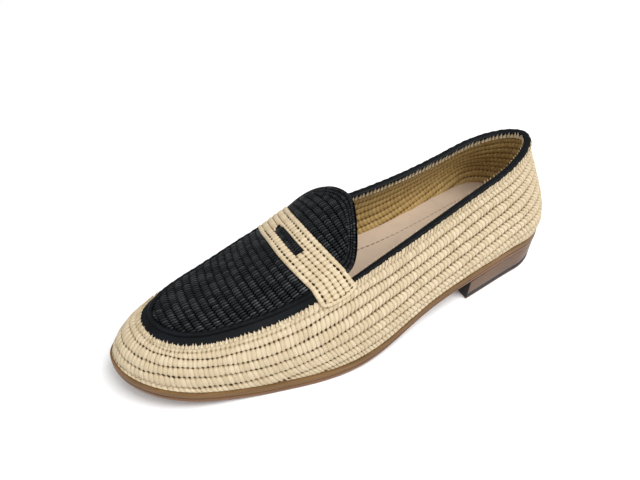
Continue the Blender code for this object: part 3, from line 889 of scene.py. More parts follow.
def strap_lines(across):
    """The strap's base lines (n, m, 3): the arch over the apron, then down the upper.

    Beyond the arch each line keeps drifting back as it crosses the edge and runs down the wall;
    the whole strap lies a little askew, its outer end ahead, and narrows inwards.
    """
    stations = STRAP_FRONT + (STRAP_BACK - STRAP_FRONT) * across
    corner, power = STRAP_CORNER
    reach = STRAP_REACH * (corner + (1 - corner) * np.sqrt(1 - np.abs(2 * across - 1) ** power))
    ends = {}
    for side in SIDES:
        spots = []
        for run in np.linspace(0, 1, STRAP_END_CUTS)[1:]:
            past = run * (PIPING_WIDTH + reach)
            share = row_end(side, stations - STRAP_DRIFT * past / SOLE_LENGTH)
            ahead = (PIPING_WIDTH - past)[:, None]
            spots.append(beside_edge(side, share, ahead, 0 * ahead))
        ends[side] = np.concatenate(spots, 1)
    over = row_line(stations, 0.0)[:, 2:-2]
    lines = np.concatenate([ends[OUTER][:, ::-1], over, ends[INNER]], 1)
    across = across[:, None]
    x = lines[..., 0].copy()
    depth, middle, reach = STRAP_HOLLOW
    lines[..., 1] += depth * bell(x, middle, reach) * (1 - across) - STRAP_SKEW * x
    lines[..., 1] -= STRAP_TAPER * across * np.clip(-x / TAPER_REACH, 0, 1)
    return lines


def slot_bend(along, v, end):
    """How far each line's grid is drawn back round the slot's inner end, in mm."""
    off = np.abs(v - sum(SLOT_ROWS) / 2) / (SLOT_ROWS[1] - SLOT_ROWS[0]) * 2
    depth = SLOT_ROUND * (1 - np.sqrt(1 - np.clip(off, 0, 1) ** SLOT_POWER))
    depth = depth * smooth_step(2.2, 1.0, off)
    return depth[:, None] * bell(along, end, SLOT_EASE)


def strap_relief(u, vv, plain):
    """Edge rows, beads between them, and eyelets beside the edge rows; plain ends are calm."""
    last = len(STRAP_ROWS) - 1
    beside = np.abs(np.abs(vv - last / 2) - (last - 2) / 2) < 0.5
    beads = blend(BEAD_RELIEF, EYELET_RELIEF, beside)
    beads = beads._replace(
        crease=beads.crease * (1 - PLAIN_CREASE * plain), pit=beads.pit * (1 - plain),
        shallow=np.minimum(beads.shallow + 0.5 * plain, PLAIN_SHALLOW))
    edge = (vv < RIM_SHARE) | (vv > last - RIM_SHARE)
    return np.where(edge, stitch_relief(u, vv, RIM_RELIEF), stitch_relief(u, vv, beads))


def make_strap_skin(name, settings):
    """The strap: edge rows that turn round its ends, and rows of beads between, with its slot."""
    width = STRAP_ROWS[-1]
    v = row_lines(0, len(STRAP_ROWS) - 1, STRAP_SHARES)
    place = np.interp(v, np.arange(len(STRAP_ROWS)), STRAP_ROWS)[:, None]
    lines = strap_lines(place[:, 0] / width)
    spots, along = even_rows(lines, STRAP_CELLS)
    half = along[:, -1:]
    middle = np.argmin(np.abs(v - sum(SLOT_ROWS) / 2))
    cut = np.broadcast_to(along[middle], along.shape)
    slot_end = settings.slot_start + settings.slot_length
    along = along - slot_bend(cut, v, slot_end)
    spots = smooth_along(spots, STRAP_SMOOTHING)
    smoothed = run_lengths(spots)
    spots = sample_rows(smoothed, spots, (along + half) * smoothed[:, -1:] / (2 * half))
    normals = grid_normals(spots)
    normals *= np.sign(normals[..., 2:3].mean())
    end = np.abs(along[:, :1]) - np.abs(along)
    u, vv = np.broadcast_arrays(along / settings.strap_stitch, v[:, None])
    plain = smooth_step(*PLAIN_END, half - along)
    relief = strap_relief(u, vv, plain)
    rim_row = STRAP_ROWS[1] * RIM_SHARE
    turned = (end < rim_row) & (end < np.minimum(place, width - place))
    round_end_uv = np.stack(np.broadcast_arrays(place / settings.strap_stitch, end / rim_row), -1)
    round_rim = stitch_relief(round_end_uv[..., 0], round_end_uv[..., 1], END_RELIEF)
    relief = np.where(turned, round_rim, relief)
    slot = ((vv > SLOT_ROWS[0] - 0.01) & (vv < SLOT_ROWS[1] - 0.01)
            & (cut > settings.slot_start) & (cut < slot_end))
    calm = np.floor(vv) + 0.5 + (vv - np.floor(vv) - 0.5) * (1 - PLAIN_COUNT * plain)
    points = spots + normals * (STRAP_LIFT + relief)[..., None]
    return grid_object(name, points, np.stack([u, calm], -1), keep=~slot[:-1, :-1],
                       pick=(round_end_uv, turned))


# Trims and stitches along the edge
TRIM_OVERLAP = 0.004
PIPING_CELLS, BINDING_CELLS, SEAM_CELLS = 240, 420, 400
PIPING_CRINKLE, BINDING_CRINKLE = 0.06, 0.12
PIPING_RADIUS = 1.25
PIPING_ARC = (200, -50, 22)
PIPING_STRIP = ((-1.2, -1.5), (-1.2, -0.5), (0.4, -0.25), (1.7, -0.3), (3.2, -0.35))
PIPING_FOOT = (5.4, -1.6)
BINDING_FOOT = 2.1
BINDING_FACE = 0.5
BINDING_BROW = -0.8
BINDING_CREST = 0.95
TOOTH_TAPER = np.array([1.0, 0.9, 0.68, 0.46, 0.24, 0.04])
TOOTH_SIDES = 6
TOOTH_WIDTH = 0.44
TOOTH_HEIGHT = 0.42
TOOTH_BULGE = 0.25
TOOTH_JITTER = 0.5
TOOTH_STRETCH = (0.45, 0.85)
TOOTH_LEAN = (0.9, 0.3)
TOOTH_ROOT = 0.4
FOLD_WAVES = (1.37, 0.83, 0.31)


def edge_path(station, pole, cells):
    """For each side, shares of the edge from a station to its front pole (1) or back pole (0)."""
    run = np.linspace(0, 1, cells)
    ends = {side: float(row_end(side, station)) for side in SIDES}
    return {side: end + (pole - end) * run for side, end in ends.items()}


def edge_sections(section, path, crinkle):
    """Sections (n, k, 3): offsets (ahead, away) from the edge, from outer side to inner side.

    crinkle is the depth in mm of uneven folds across the strip.
    """
    section = np.array(section)
    parts = []
    for side in SIDES:
        point, _, _ = edge_frame(side, path[side])
        along = run_lengths(point[None])[0][:, None]
        ahead, away = (np.broadcast_to(part, (len(point), len(section))) for part in section.T)
        slanted = along + side * 0.5 * ahead
        fine, broad, slow = FOLD_WAVES
        fold = crinkle * (np.sin(slanted * fine)
                          + np.sin(slanted * broad + 2.0) * np.sin(along * slow))
        parts.append(beside_edge(side, path[side], ahead * (1 + 0.3 * fold * (ahead > 0)),
                                 away + fold * (away > 0)))
    return np.concatenate([parts[0], parts[1][-2::-1]])


def make_piping(name):
    """The apron's trim: a flat leather strip under the stitches and a roll beside the ribs."""
    first, last, count = PIPING_ARC
    turn = np.radians(np.linspace(first, last, count))
    roll = np.stack([PIPING_WIDTH - PIPING_RADIUS - FIT_GAP + PIPING_RADIUS * np.cos(turn),
                     0.1 + PIPING_RADIUS * np.sin(turn)], 1)
    section = [*PIPING_STRIP, *roll, PIPING_FOOT]
    path = edge_path(STRAP_FRONT - TRIM_OVERLAP, 1, PIPING_CELLS)
    return bar_object(name, edge_sections(section, path, PIPING_CRINKLE))


def make_binding(name):
    """The collar's trim: a leather strip folded over the edge, rounded at its crest."""
    reach = UPPER_WALL / 2 + FIT_GAP + BINDING_FACE
    turn = np.radians(np.linspace(90, -90, 17))
    crest = np.stack([BINDING_BROW + BINDING_CREST * np.cos(turn),
                      -UPPER_WALL / 2 + reach * np.sin(turn)], 1)
    low, brow = -BINDING_FOOT, BINDING_BROW - 0.5
    out, back = reach - UPPER_WALL / 2, -reach - UPPER_WALL / 2
    section = [(low, 0.0), (low - 0.1, out - 0.6), (low + 0.3, out - 0.12), (brow, out), *crest,
               (brow, back), (low + 0.3, back + 0.12), (low - 0.1, back + 0.6),
               (low, -UPPER_WALL)]
    path = edge_path(STRAP_BACK + TRIM_OVERLAP, 0, BINDING_CELLS)
    return bar_object(name, edge_sections(section, path, BINDING_CRINKLE))


def tooth_tubes(side, share, settings, base, tip, seed, facing):
    """Rings (count, rings, TOOTH_SIDES, 3) of the pointed stitches along one side of a seam."""
    run = run_lengths(read(TOP[side], share, "point")[None])[0]
    count = int(run[-1] / settings.tooth_pitch)
    index = np.arange(count)
    jitter = (scatter(index, seed, side) - 0.5) * TOOTH_JITTER
    stretch = TOOTH_STRETCH[0] + TOOTH_STRETCH[1] * scatter(index, seed + 1, side)
    lean = (scatter(index, seed + 2, side) - TOOTH_LEAN[1]) * TOOTH_LEAN[0]
    share = np.interp((index + 0.5) / count * run[-1] + jitter, run, share)
    ring = np.linspace(0, 1, len(TOOTH_TAPER))
    reach = np.where(ring < TOOTH_ROOT, 1.0, 0.6 + 0.4 * stretch[:, None])
    ahead = base[0] + (tip[0] - base[0]) * ring * reach
    away = base[1] + (tip[1] - base[1]) * ring + TOOTH_BULGE * np.sin(np.pi * ring)
    spots = beside_edge(side, share, ahead, np.broadcast_to(away, ahead.shape))
    _, forward, normal = edge_frame(side, share)
    along = unit(np.cross(normal, forward))[:, None]
    spots = spots + (lean[:, None] * ring)[..., None] * along
    turn = np.linspace(0, 2 * np.pi, TOOTH_SIDES, endpoint=False)
    wide = settings.tooth_pitch * TOOTH_WIDTH * TOOTH_TAPER[:, None] * np.cos(turn)
    high = facing * TOOTH_HEIGHT * TOOTH_TAPER[:, None] * np.sin(turn)
    return (spots[:, :, None] + wide[..., None] * along[:, None]
            + high[..., None] * normal[:, None, None])


def make_teeth(name, settings, path, base, tip, seed, facing=1):
    """Pointed stitches along a seam: each a drop, blunt at its base and thin at its tip.

    base and tip are (ahead, away) in mm; place, length and lean vary from stitch to stitch.
    """
    tube = np.concatenate([tooth_tubes(side, path[side], settings, base, tip, seed, facing)
                           for side in SIDES])
    count, rings, turns = tube.shape[:3]
    r, t = (part.ravel() for part in np.meshgrid(np.arange(rings - 1), np.arange(turns),
                                                 indexing="ij"))
    n = (t + 1) % turns
    one = np.stack([r * turns + t, (r + 1) * turns + t, (r + 1) * turns + n, r * turns + n], 1)
    tooth = np.arange(count)[:, None, None]
    faces = tooth * rings * turns + one
    along = np.stack([r, r + 1, r + 1, r], 1) / rings
    corners = np.stack(np.broadcast_arrays(tooth + 0.5, 0.3 + 0.4 * along), -1)
    return mesh_object(name, tube.reshape(-1, 3), faces.reshape(-1, 4), corners)


# Soles
SOCK_LINE = 15.0
SOCK_STITCH = (3.4, 2.3, 0.55)
SOCK_STITCH_SINK = 0.2
SOCK_STITCH_RISE = 0.15
SOCK_CLEARANCE = 0.4
GAP_SPLIT = 0.4
HEEL_SEAM = 0.3
SOLE_CELLS, SOCK_CELLS, HEEL_CELLS = 200, 160, 60
OUTSOLE_PROFILE = ((1.0, 1.0, 0.0), (0.6, 0.75, 0.12), (0.25, 0.35, 0.35), (0.05, 0.1, 0.6),
                   (0.0, 0.0, 0.85), (0.12, 0.0, 1.0))
WELT_PROFILE = ((0.35, 0.0), (0.05, 0.15), (0.0, 0.5), (0.12, 0.85), (0.4, 1.0))
SOCK_PROFILE = ((0.0, 0.0), (0.3, 1.1), (1.1, INSOLE_THICKNESS))
HEEL_PROFILE = ((0.03, 0.1), (0.1, 0.0), (0.5, 0.0), (0.9, 0.0), (0.97, 0.1))


def sole_ring(inset, height, cells, last=None):
    """The sole's outline moved in by inset(station) at height(station), as a closed ring.

    With last, a station, the ring stops there and closes straight across the shoe.
    """
    def make(side, share):
        line = FEATHER[side]
        station = read(line, share, "station")
        point = read(line, share, "point") - read(line, share, "out") * inset(station)[:, None]
        point[:, 2] = height(station)
        return point
    if last is None:
        return around(make, cells)
    outer, inner = (make(side, np.linspace(0, np.interp(last, FEATHER[side]["station"],
                                                        FEATHER[side]["share"]), cells + 1))
                    for side in SIDES)
    return np.concatenate([outer, inner[:0:-1]])


def sole_plate(name, profile, ring, cells, last=None):
    """A plate through one ring for each row of its profile; ring gives (inset, height)."""
    return plate_object(name, [sole_ring(*ring(*row), cells, last) for row in profile])


def level(value):
    return lambda station: np.full_like(station, value)


def above_tread(height):
    return lambda station: tread(station) + height


def make_outsole(name):
    """The tread leather: its edge is set in below, most of all at the waist."""
    def ring(plain, bevel, share):
        def inset(station):
            waist = WAIST_BEVEL * bell(station, WAIST_STATION, WAIST_SPAN)
            return SOLE_EDGE_ROUND * plain + waist * bevel
        return inset, above_tread(share * OUTSOLE_THICKNESS)
    return sole_plate(name, OUTSOLE_PROFILE, ring, SOLE_CELLS)


def make_welt(name):
    """The welt: a thin flat band with rounded edges between the tread leather and the wall."""
    low = OUTSOLE_THICKNESS + FIT_GAP * GAP_SPLIT
    thickness = WELT_THICKNESS + FIT_GAP * (1 - GAP_SPLIT)
    return sole_plate(name, WELT_PROFILE, lambda inset, share: (
        level(inset), above_tread(low + share * thickness)), SOLE_CELLS)


def make_insole(name):
    """The sock: a thin leather plate, its upper edge turned in."""
    low = OUTSOLE_THICKNESS + WELT_THICKNESS + 2 * FIT_GAP
    return sole_plate(name, SOCK_PROFILE, lambda extra, rise: (
        lambda station: welt_margin(station) + UPPER_WALL * SOCK_CLEARANCE + extra,
        above_tread(low + rise)), SOCK_CELLS)


def make_sock_stitches(name):
    """Short raised stitches in a line along the sock, each a low box."""
    pitch, length, width = SOCK_STITCH
    top = OUTSOLE_THICKNESS + WELT_THICKNESS + 2 * FIT_GAP + INSOLE_THICKNESS
    line = sole_ring(level(SOCK_LINE), above_tread(top), 400)
    line = np.concatenate([line, line[:1]])[None]
    run = run_lengths(line)
    count = int(run[0, -1] / pitch)
    middle = (np.arange(count)[:, None] + 0.5) * run[0, -1] / count
    ends = middle + np.array([-0.5, 0.5]) * length
    spots = sample_rows(run, line, ends.reshape(1, -1)).reshape(count, 2, 3)
    along = unit(spots[:, 1] - spots[:, 0])
    across = unit(np.cross(along, UP)) * width / 2
    low = np.stack([spots[:, 0] - across, spots[:, 1] - across,
                    spots[:, 1] + across, spots[:, 0] + across], 1)
    boxes = np.concatenate([low - UP * SOCK_STITCH_SINK, low + UP * SOCK_STITCH_RISE], 1)
    cell = np.array([[3, 2, 1, 0], [4, 5, 6, 7], [0, 1, 5, 4], [1, 2, 6, 5],
                     [2, 3, 7, 6], [3, 0, 4, 7]])
    faces = (np.arange(count)[:, None, None] * 8 + cell).reshape(-1, 4)
    return mesh_object(name, boxes.reshape(-1, 3), faces, smooth=False)


def make_heel_part(name, low_inset, low, high_inset, high, edge=0.25):
    """One layer of the heel: a plate whose edges are rounded a little."""
    def ring(share, extra):
        inset = low_inset + (high_inset - low_inset) * share
        return level(inset + extra), lambda s: low(s) + (high(s) - low(s)) * share
    profile = ((0.0, edge), *HEEL_PROFILE, (1.0, edge))
    return sole_plate(name, profile, ring, HEEL_CELLS, HEEL_BREAST)


# Node graphs
class Wire:
    """A node's output, which can be added, subtracted, multiplied, divided and raised."""

    def __init__(self, graph, socket):
        self.graph = graph
        self.socket = socket

    def __add__(self, other):
        return self.graph.math("ADD", self, other)

    def __sub__(self, other):
        return self.graph.math("SUBTRACT", self, other)

    def __rsub__(self, other):
        return self.graph.math("SUBTRACT", other, self)

    def __mul__(self, other):
        return self.graph.math("MULTIPLY", self, other)

    def __truediv__(self, other):
        return self.graph.math("DIVIDE", self, other)

    def __pow__(self, other):
        return self.graph.math("POWER", self, other)


class Graph:
    """Adds nodes to a tree from left to right; an input is a value or another node's wire."""

    def __init__(self, tree):
        self.tree = tree
        self.column = 0

    def node(self, kind, inputs=(), **settings):
        """Adds a node, sets it up and feeds its inputs, given in order or by name."""
        made = self.tree.nodes.new(kind)
        made.location = (self.column % 12) * 190, -(self.column // 12) * 260
        self.column += 1
        for key, value in settings.items():
            setattr(made, key, value)
        pairs = inputs.items() if isinstance(inputs, dict) else enumerate(inputs)
        for key, value in pairs:
            self.feed(made.inputs[key], value)
        return made

    def feed(self, socket, value):
        if isinstance(value, Wire):
            self.tree.links.new(value.socket, socket)
        else:
            socket.default_value = value

    def wire(self, kind, inputs=(), output=0, **settings):
        return Wire(self, self.node(kind, inputs, **settings).outputs[output])

    def math(self, operation, *values):
        return self.wire("ShaderNodeMath", values, operation=operation)

    def smooth(self, value, low, high, first=0.0, last=1.0):
        """A smooth step: first below low, last above high."""
        return self.wire("ShaderNodeMapRange", (value, low, high, first, last),
                         interpolation_type="SMOOTHSTEP")

    def combine(self, *parts):
        return self.wire("ShaderNodeCombineXYZ", parts)

    def separate(self, vector):
        outputs = self.node("ShaderNodeSeparateXYZ", (vector,)).outputs
        return [Wire(self, socket) for socket in outputs]

    def stretch(self, vector, scale):
        return self.wire("ShaderNodeVectorMath", (vector, scale), operation="MULTIPLY")

    def noise(self, vector, scale, detail=3.0, roughness=0.5):
        inputs = {"Vector": vector, "Scale": scale, "Detail": detail, "Roughness": roughness}
        return self.wire("ShaderNodeTexNoise", inputs, "Fac")

    def random(self, *numbers):
        return self.wire("ShaderNodeTexWhiteNoise", {"Vector": self.combine(*numbers)}, "Value",
                         noise_dimensions="3D")

    def mix(self, share, first, second):
        """From the first colour to the second; a colour is a wire or three numbers."""
        first, second = (part if isinstance(part, Wire) else (*part, 1.0)
                         for part in (first, second))
        return self.wire("ShaderNodeMix", {"Factor": share, "A": first, "B": second}, "Result",
                         data_type="RGBA")

    def bump(self, height, strength, distance):
        inputs = {"Height": height, "Strength": strength, "Distance": distance}
        return self.wire("ShaderNodeBump", inputs, "Normal")


class Group(Graph):
    """A node group with named inputs, a vector where the default is None; give() ends it."""

    def __init__(self, name, **inputs):
        super().__init__(bpy.data.node_groups.new(name, "ShaderNodeTree"))
        for label, value in inputs.items():
            kind = "NodeSocketVector" if value is None else "NodeSocketFloat"
            socket = self.tree.interface.new_socket(label, in_out="INPUT", socket_type=kind)
            if value is not None:
                socket.default_value = value
        start = self.node("NodeGroupInput")
        self.given = {label: Wire(self, start.outputs[label]) for label in inputs}

    def give(self, **outputs):
        for label in outputs:
            self.tree.interface.new_socket(label, in_out="OUTPUT", socket_type="NodeSocketFloat")
        self.node("NodeGroupOutput", outputs)
        return self.tree


class Finish(Graph):
    """A material's graph with its shader."""

    def __init__(self, name):
        self.material = bpy.data.materials.new(name)
        self.material.use_nodes = True
        super().__init__(self.material.node_tree)
        self.shader = self.tree.nodes["Principled BSDF"]
        self.shader.location = 2400, 0
        self.tree.nodes["Material Output"].location = 2700, 0

    def finish(self, colour, roughness, normal=None, specular=None, coat=None, haze=None):
        """Feeds the shader, haze being the coat's roughness, and gives the material."""
        inputs = {"Base Color": colour, "Roughness": roughness, "Normal": normal,
                  "Specular IOR Level": specular, "Coat Weight": coat, "Coat Roughness": haze}
        for name, value in inputs.items():
            if value is not None:
                self.feed(self.shader.inputs[name], value)
        return self.material

    def counts(self):
        return self.wire("ShaderNodeUVMap", output="UV", uv_map="stitches")

    def place(self):
        return self.wire("ShaderNodeTexCoord", output="Object")

    def group(self, name, make, **values):
        """The outputs of a shared node group, made when it is first called for."""
        tree = bpy.data.node_groups.get(name) or make(name)
        made = self.node("ShaderNodeGroup", values, node_tree=tree)
        return {socket.name: Wire(self, socket) for socket in made.outputs}


def crochet_group(name):
    """Strands on counts (strand, row): their height, tone, fibres, row grooves and holes.

    Ridge runs from a strand's middle to the crease beside it, Near from a row's middle to the
    lines between rows. Grooves along those lines are toothed by the creases, and holes are
    small ellipses where creases meet them. Faint lessens what lies round row line 1.
    """
    g = Group(name, Counts=None, Holes=1.0, Faint=0.0, Wander=0.1)
    x, y, _ = g.separate(g.given["Counts"])
    x = x + (g.noise(g.combine(x, y, 4.0), 0.9, 2.0) - 0.5) * g.given["Wander"]
    strand, row = g.math("FLOOR", x), g.math("FLOOR", y)
    place, line = g.math("FLOOR", x + 0.5), g.math("FLOOR", y + 0.5)
    strength = 1.0 - g.math("COMPARE", line, 1.0, 0.1) * 0.7 * g.given["Faint"]
    ridge = g.math("ABSOLUTE", (x - strand) * 2.0 - 1.0)
    edge = g.math("ABSOLUTE", (y - row) * 2.0 - 1.0)
    groove = g.smooth(edge + ridge**1.5 * 0.22, 0.8, 1.1) * strength
    fibre = g.noise(g.combine(x * 7.0, y * 0.8), 1.6, 3.0, 0.65)
    cloudy = g.noise(g.combine(x * 0.35, row, 7.0), 1.0, 2.0)
    dx, dy = (x - place) / PIT_REACH[0], (y - line) / PIT_REACH[1]
    drift = g.smooth(g.noise(g.combine(x * 0.09, line, 9.0), 1.0, 1.0), 0.35, 0.6, 0.6, 1.05)
    size = (g.random(place, line, 3.0) * 0.5 + 0.6) * drift * g.given["Holes"] * strength
    away = g.math("SQRT", dx * dx + dy * dy)
    hole = g.smooth(away - size, -0.3, 0.12, 1.0, 0.0) * g.math("GREATER_THAN", y, 0.5)
    return g.give(Height=(1.0 - ridge**4.0) * 0.8 + fibre * 0.5 - hole * 1.2,
                  Tone=g.random(strand, row) * 0.65 + cloudy * 0.35, Groove=groove, Hole=hole,
                  Ridge=ridge, Near=edge * edge * strength, Fibre=fibre)


def grain_group(name):
    """Leather grain: small rounded cells with creases between, and broad worn patches."""
    g = Group(name, Place=None, Scale=900.0)
    place, scale = g.given["Place"], g.given["Scale"]
    cells = g.wire("ShaderNodeTexVoronoi", {"Vector": place, "Scale": scale}, "Distance",
                   feature="SMOOTH_F1")
    return g.give(Height=cells * -0.7 + g.noise(place, scale * 1.7) * 0.4,
                  Wear=g.noise(place, 90.0, 4.0, 0.6))


def tinted(colour, factor):
    """A colour with its parts scaled by one number or by three."""
    return tuple(float(part) for part in np.multiply(colour, factor))


def toe_share(f):
    """Share from 0 at the shoe's middle to 1 at its toe."""
    return f.smooth(f.separate(f.place())[1], 0.0, -0.06)


def strap_edge_share(f):
    """Share that is 1 beside the strap's two edge rows and 0 between them."""
    off = f.math("ABSOLUTE", f.separate(f.counts())[1] - (len(STRAP_ROWS) - 1) / 2)
    return f.smooth(off, 1.3, 1.6)


# Painted shade: near black for the shade inside the crochet's holes, and a darker tint of deep
# straw for the shade in the grooves between rows.
HOLE_SHADE_COLOUR = (0.058, 0.034, 0.012)
GROOVE_SHADE_TINT = (0.75, 0.62, 0.45)
# Painted shade: near black for the gaps between the dyed strands.
GAP_SHADE_COLOUR = (0.0006, 0.0006, 0.0008)
# Painted shade: near black for the heel's breast, which lies in shadow.
BREAST_SHADE_COLOUR = (0.008, 0.006, 0.005)
# How strong the painted shade in the creases stays at the toe.
TOE_CREASE_SHADE = 0.45


def raffia_finish(name, light, mid, dark, holes, grooves, bump, faint=0.0, share=None):
    """Crocheted raffia: strands of changing tone, with painted shade in the creases and between
    rows and near black painted shade in the holes.

    holes and grooves are (first, second) strengths, blended by the socket that share makes.
    """
    f = Finish(name)
    hole_size, groove_shade, crease_shade = holes[0], grooves[0], 1.0
    if share is not None:
        at = share(f)
        hole_size, groove_shade, crease_shade = (
            f.smooth(at, 0.0, 1.0, *pair) for pair in (holes, grooves, (1.0, TOE_CREASE_SHADE)))
    c = f.group("crochet", crochet_group, Counts=f.counts(), Holes=hole_size, Faint=faint)
    body = f.mix(f.smooth(c["Tone"], 0.15, 0.9, 0.3, 1.0), mid, light)
    body = f.mix(f.smooth(c["Fibre"], 0.35, 0.75, 0.0, 0.35), body, dark)
    # Painted shade in the creases between strands, deepest near the lines between rows.
    body = f.mix(c["Ridge"] ** 6.0 * (c["Near"] * 0.6 + 0.1) * crease_shade, body, dark)
    # Painted shade in the grooves between rows.
    body = f.mix(c["Groove"] * groove_shade, body, tinted(dark, GROOVE_SHADE_TINT))
    body = f.mix(f.smooth(f.noise(f.place(), 38.0, 2.0), 0.35, 0.7, 0.0, 0.2), body, mid)
    # Near black painted shade in the holes.
    return f.finish(f.mix(c["Hole"], body, HOLE_SHADE_COLOUR),
                    f.smooth(c["Tone"], 0.0, 1.0, 0.48, 0.66),
                    f.bump(c["Height"], bump, 0.0009), 0.35)


def black_raffia_finish(name, light, dark, holes):
    """Dyed raffia: strands with a soft shine, and near black painted shade in the gaps between
    them.
    """
    f = Finish(name)
    c = f.group("crochet", crochet_group, Counts=f.counts(), Holes=holes, Wander=0.2)
    body = f.mix(f.smooth(c["Tone"], 0.1, 0.9, 0.35, 1.0), dark, light)
    body = f.mix(f.smooth(c["Fibre"], 0.4, 0.75, 0.0, 0.5), body, dark)
    crease = f.smooth(c["Ridge"], 0.12, 0.6) * (c["Near"] * 0.3 + 0.7)
    # Painted shade fills the gaps: the grooves between rows, the creases between strands and the
    # holes.
    gaps = f.math("MAXIMUM", f.math("MAXIMUM", c["Groove"] * 0.85, crease), c["Hole"])
    shine = f.smooth(c["Tone"], 0.3, 1.0, 0.15, 0.9) * (1.0 - gaps)
    return f.finish(f.mix(gaps, body, GAP_SHADE_COLOUR), f.smooth(c["Fibre"], 0.3, 0.7, 0.42, 0.6),
                    f.bump(c["Height"], 0.9, 0.0012), 0.05, shine, 0.28)


def leather_finish(name, colour, wear, roughness, scale=900.0, bump=0.25, coat=0.0):
    """Smooth leather with a fine grain; worn patches have the colour scaled by wear."""
    f = Finish(name)
    grain = f.group("leather_grain", grain_group, Place=f.place(), Scale=scale)
    return f.finish(f.mix(f.smooth(grain["Wear"], 0.4, 0.75), colour, tinted(colour, wear)),
                    f.smooth(grain["Wear"], 0.2, 0.8, roughness - 0.06, roughness + 0.1),
                    f.bump(grain["Height"], bump, 0.0002), 0.08, coat, 0.35)


def stacked_finish(name, colour, streak, roughness, layers=900.0, across=16.0, breast=None):
    """Burnished edge leather: long level streaks, whose colour is scaled by streak.

    With breast, a place along the shoe in metres, everything ahead of it gets near black painted
    shade, for the heel's breast, which lies in shadow.
    """
    f = Finish(name)
    place = f.place()
    fine = f.noise(f.stretch(place, (across, across, layers)), 1.0, 4.0, 0.6)
    broad = f.noise(f.stretch(place, (30.0, 30.0, 160.0)), 1.0, 2.0)
    share = f.smooth(fine * 0.6 + broad * 0.4, 0.36, 0.64)
    body = f.mix(share, colour, tinted(colour, streak))
    if breast is not None:
        # Painted shade on the breast of the heel.
        ahead = f.smooth(f.separate(place)[1], breast + 0.0008, breast, 0.0, 0.9)
        body = f.mix(ahead, body, BREAST_SHADE_COLOUR)
    return f.finish(body, f.smooth(fine, 0.3, 0.7, roughness - 0.08, roughness + 0.1),
                    f.bump(fine, 0.15, 0.0003), 0.2)


# Settings
def length_setting(label, text, default, low, high):
    return bpy.props.FloatProperty(name=label, description=text, default=default, min=low,
                                   max=high, unit="NONE")


def colour_setting(label, text, default):
    return bpy.props.FloatVectorProperty(name=label, description=text, subtype="COLOR", size=3,
                                         default=default, min=0.0, max=1.0)


class CrochetSettings(bpy.types.PropertyGroup):
    stitch_pitch: length_setting("Strand pitch", "Width of one strand, in mm", 2.25, 1.5, 6.0)
    dyed_pitch: length_setting("Dyed strand pitch", "Width of one dyed strand, in mm",
                               1.55, 1.0, 6.0)
    rib_pitch: length_setting("Rib pitch", "Pitch of the apron's ribs, in mm", 4.25, 2.0, 9.0)
    flap_row: length_setting("Flap row", "Pitch of the rows round the flap, in mm", 2.4, 1.0, 5.0)
    strap_stitch: length_setting("Strap stitch", "Length of the strap's stitch, in mm", 2.45, 1, 6)
    slot_start: length_setting("Slot start", "Slot's outer end from the middle, in mm",
                               -11.8, -40.0, 40.0)
    slot_length: length_setting("Slot length", "Length of the strap's slot, in mm", 27.0, 2, 60)
    tooth_pitch: length_setting("Seam stitch pitch", "Spacing of the seam's pointed stitches",
                                2.3, 1.0, 6.0)


class ColourSettings(bpy.types.PropertyGroup):
    straw_light: colour_setting("Light straw", "The palest strands", (0.64, 0.537, 0.375))
    straw_mid: colour_setting("Middle straw", "Most strands", (0.50, 0.40, 0.25))
    # Deep straw serves for the darker fibres and as painted shade in the creases and grooves
    # between strands and rows.
    straw_dark: colour_setting("Deep straw", "Between strands and rows", (0.215, 0.132, 0.054))
    dyed_light: colour_setting("Dyed strands", "Crests of the dyed strands",
                               (0.036, 0.041, 0.045))
    dyed_dark: colour_setting("Dyed depth", "Depth of the dyed strands", (0.0055, 0.0065, 0.0075))
    trim: colour_setting("Trim leather", "Piping and binding", (0.0024, 0.003, 0.004))
    sole: colour_setting("Sole edge", "Edge of the tread leather", (0.13, 0.064, 0.030))
    welt: colour_setting("Welt", "Edge of the welt", (0.125, 0.068, 0.026))
    heel: colour_setting("Heel", "Stacked leather of the heel", (0.092, 0.05, 0.027))
    lift: colour_setting("Heel lift", "Rubber layer of the heel", (0.03, 0.033, 0.04))
    sock: colour_setting("Sock", "Leather inside, underfoot", (0.56, 0.44, 0.335))


class StudioSettings(bpy.types.PropertyGroup):
    sky: bpy.props.FloatProperty(name="Room light", description="Strength of the even light",
                                 default=0.6, min=0.0, max=3.0)
    key: bpy.props.FloatProperty(name="Key light", description="Power of the large soft light",
                                 default=19.0, min=0.0, max=200.0, unit="POWER")
    lens: bpy.props.FloatProperty(name="Lens", description="Camera's focal length in mm",
                                  default=35.22, min=10.0, max=200.0, unit="CAMERA")


# Painted shade and painted bounce light: the inner face is the same straw, darker and yellower for
# the shade and the warm light bounced inside the shoe.
INSIDE_PAINTED_SHADE = (0.84, 0.70, 0.39)
# Painted light: the strap is the same straw, made a little brighter where its top faces the light.
STRAP_PAINTED_LIGHT = (1.04, 1.03, 1.02)


def straw(context, name, holes, bump, shade=1.0, grooves=(0.82, 0.5), **options):
    """Natural raffia in the chosen colours, each part scaled by shade, a painted shade or painted
    light that makes a darker or lighter copy of the same straw.
    """
    tints = context.scene.loafer_colours
    values = [tinted(tint, shade)
              for tint in (tints.straw_light, tints.straw_mid, tints.straw_dark)]
    return raffia_finish(name, *values, holes, grooves, bump, **options)


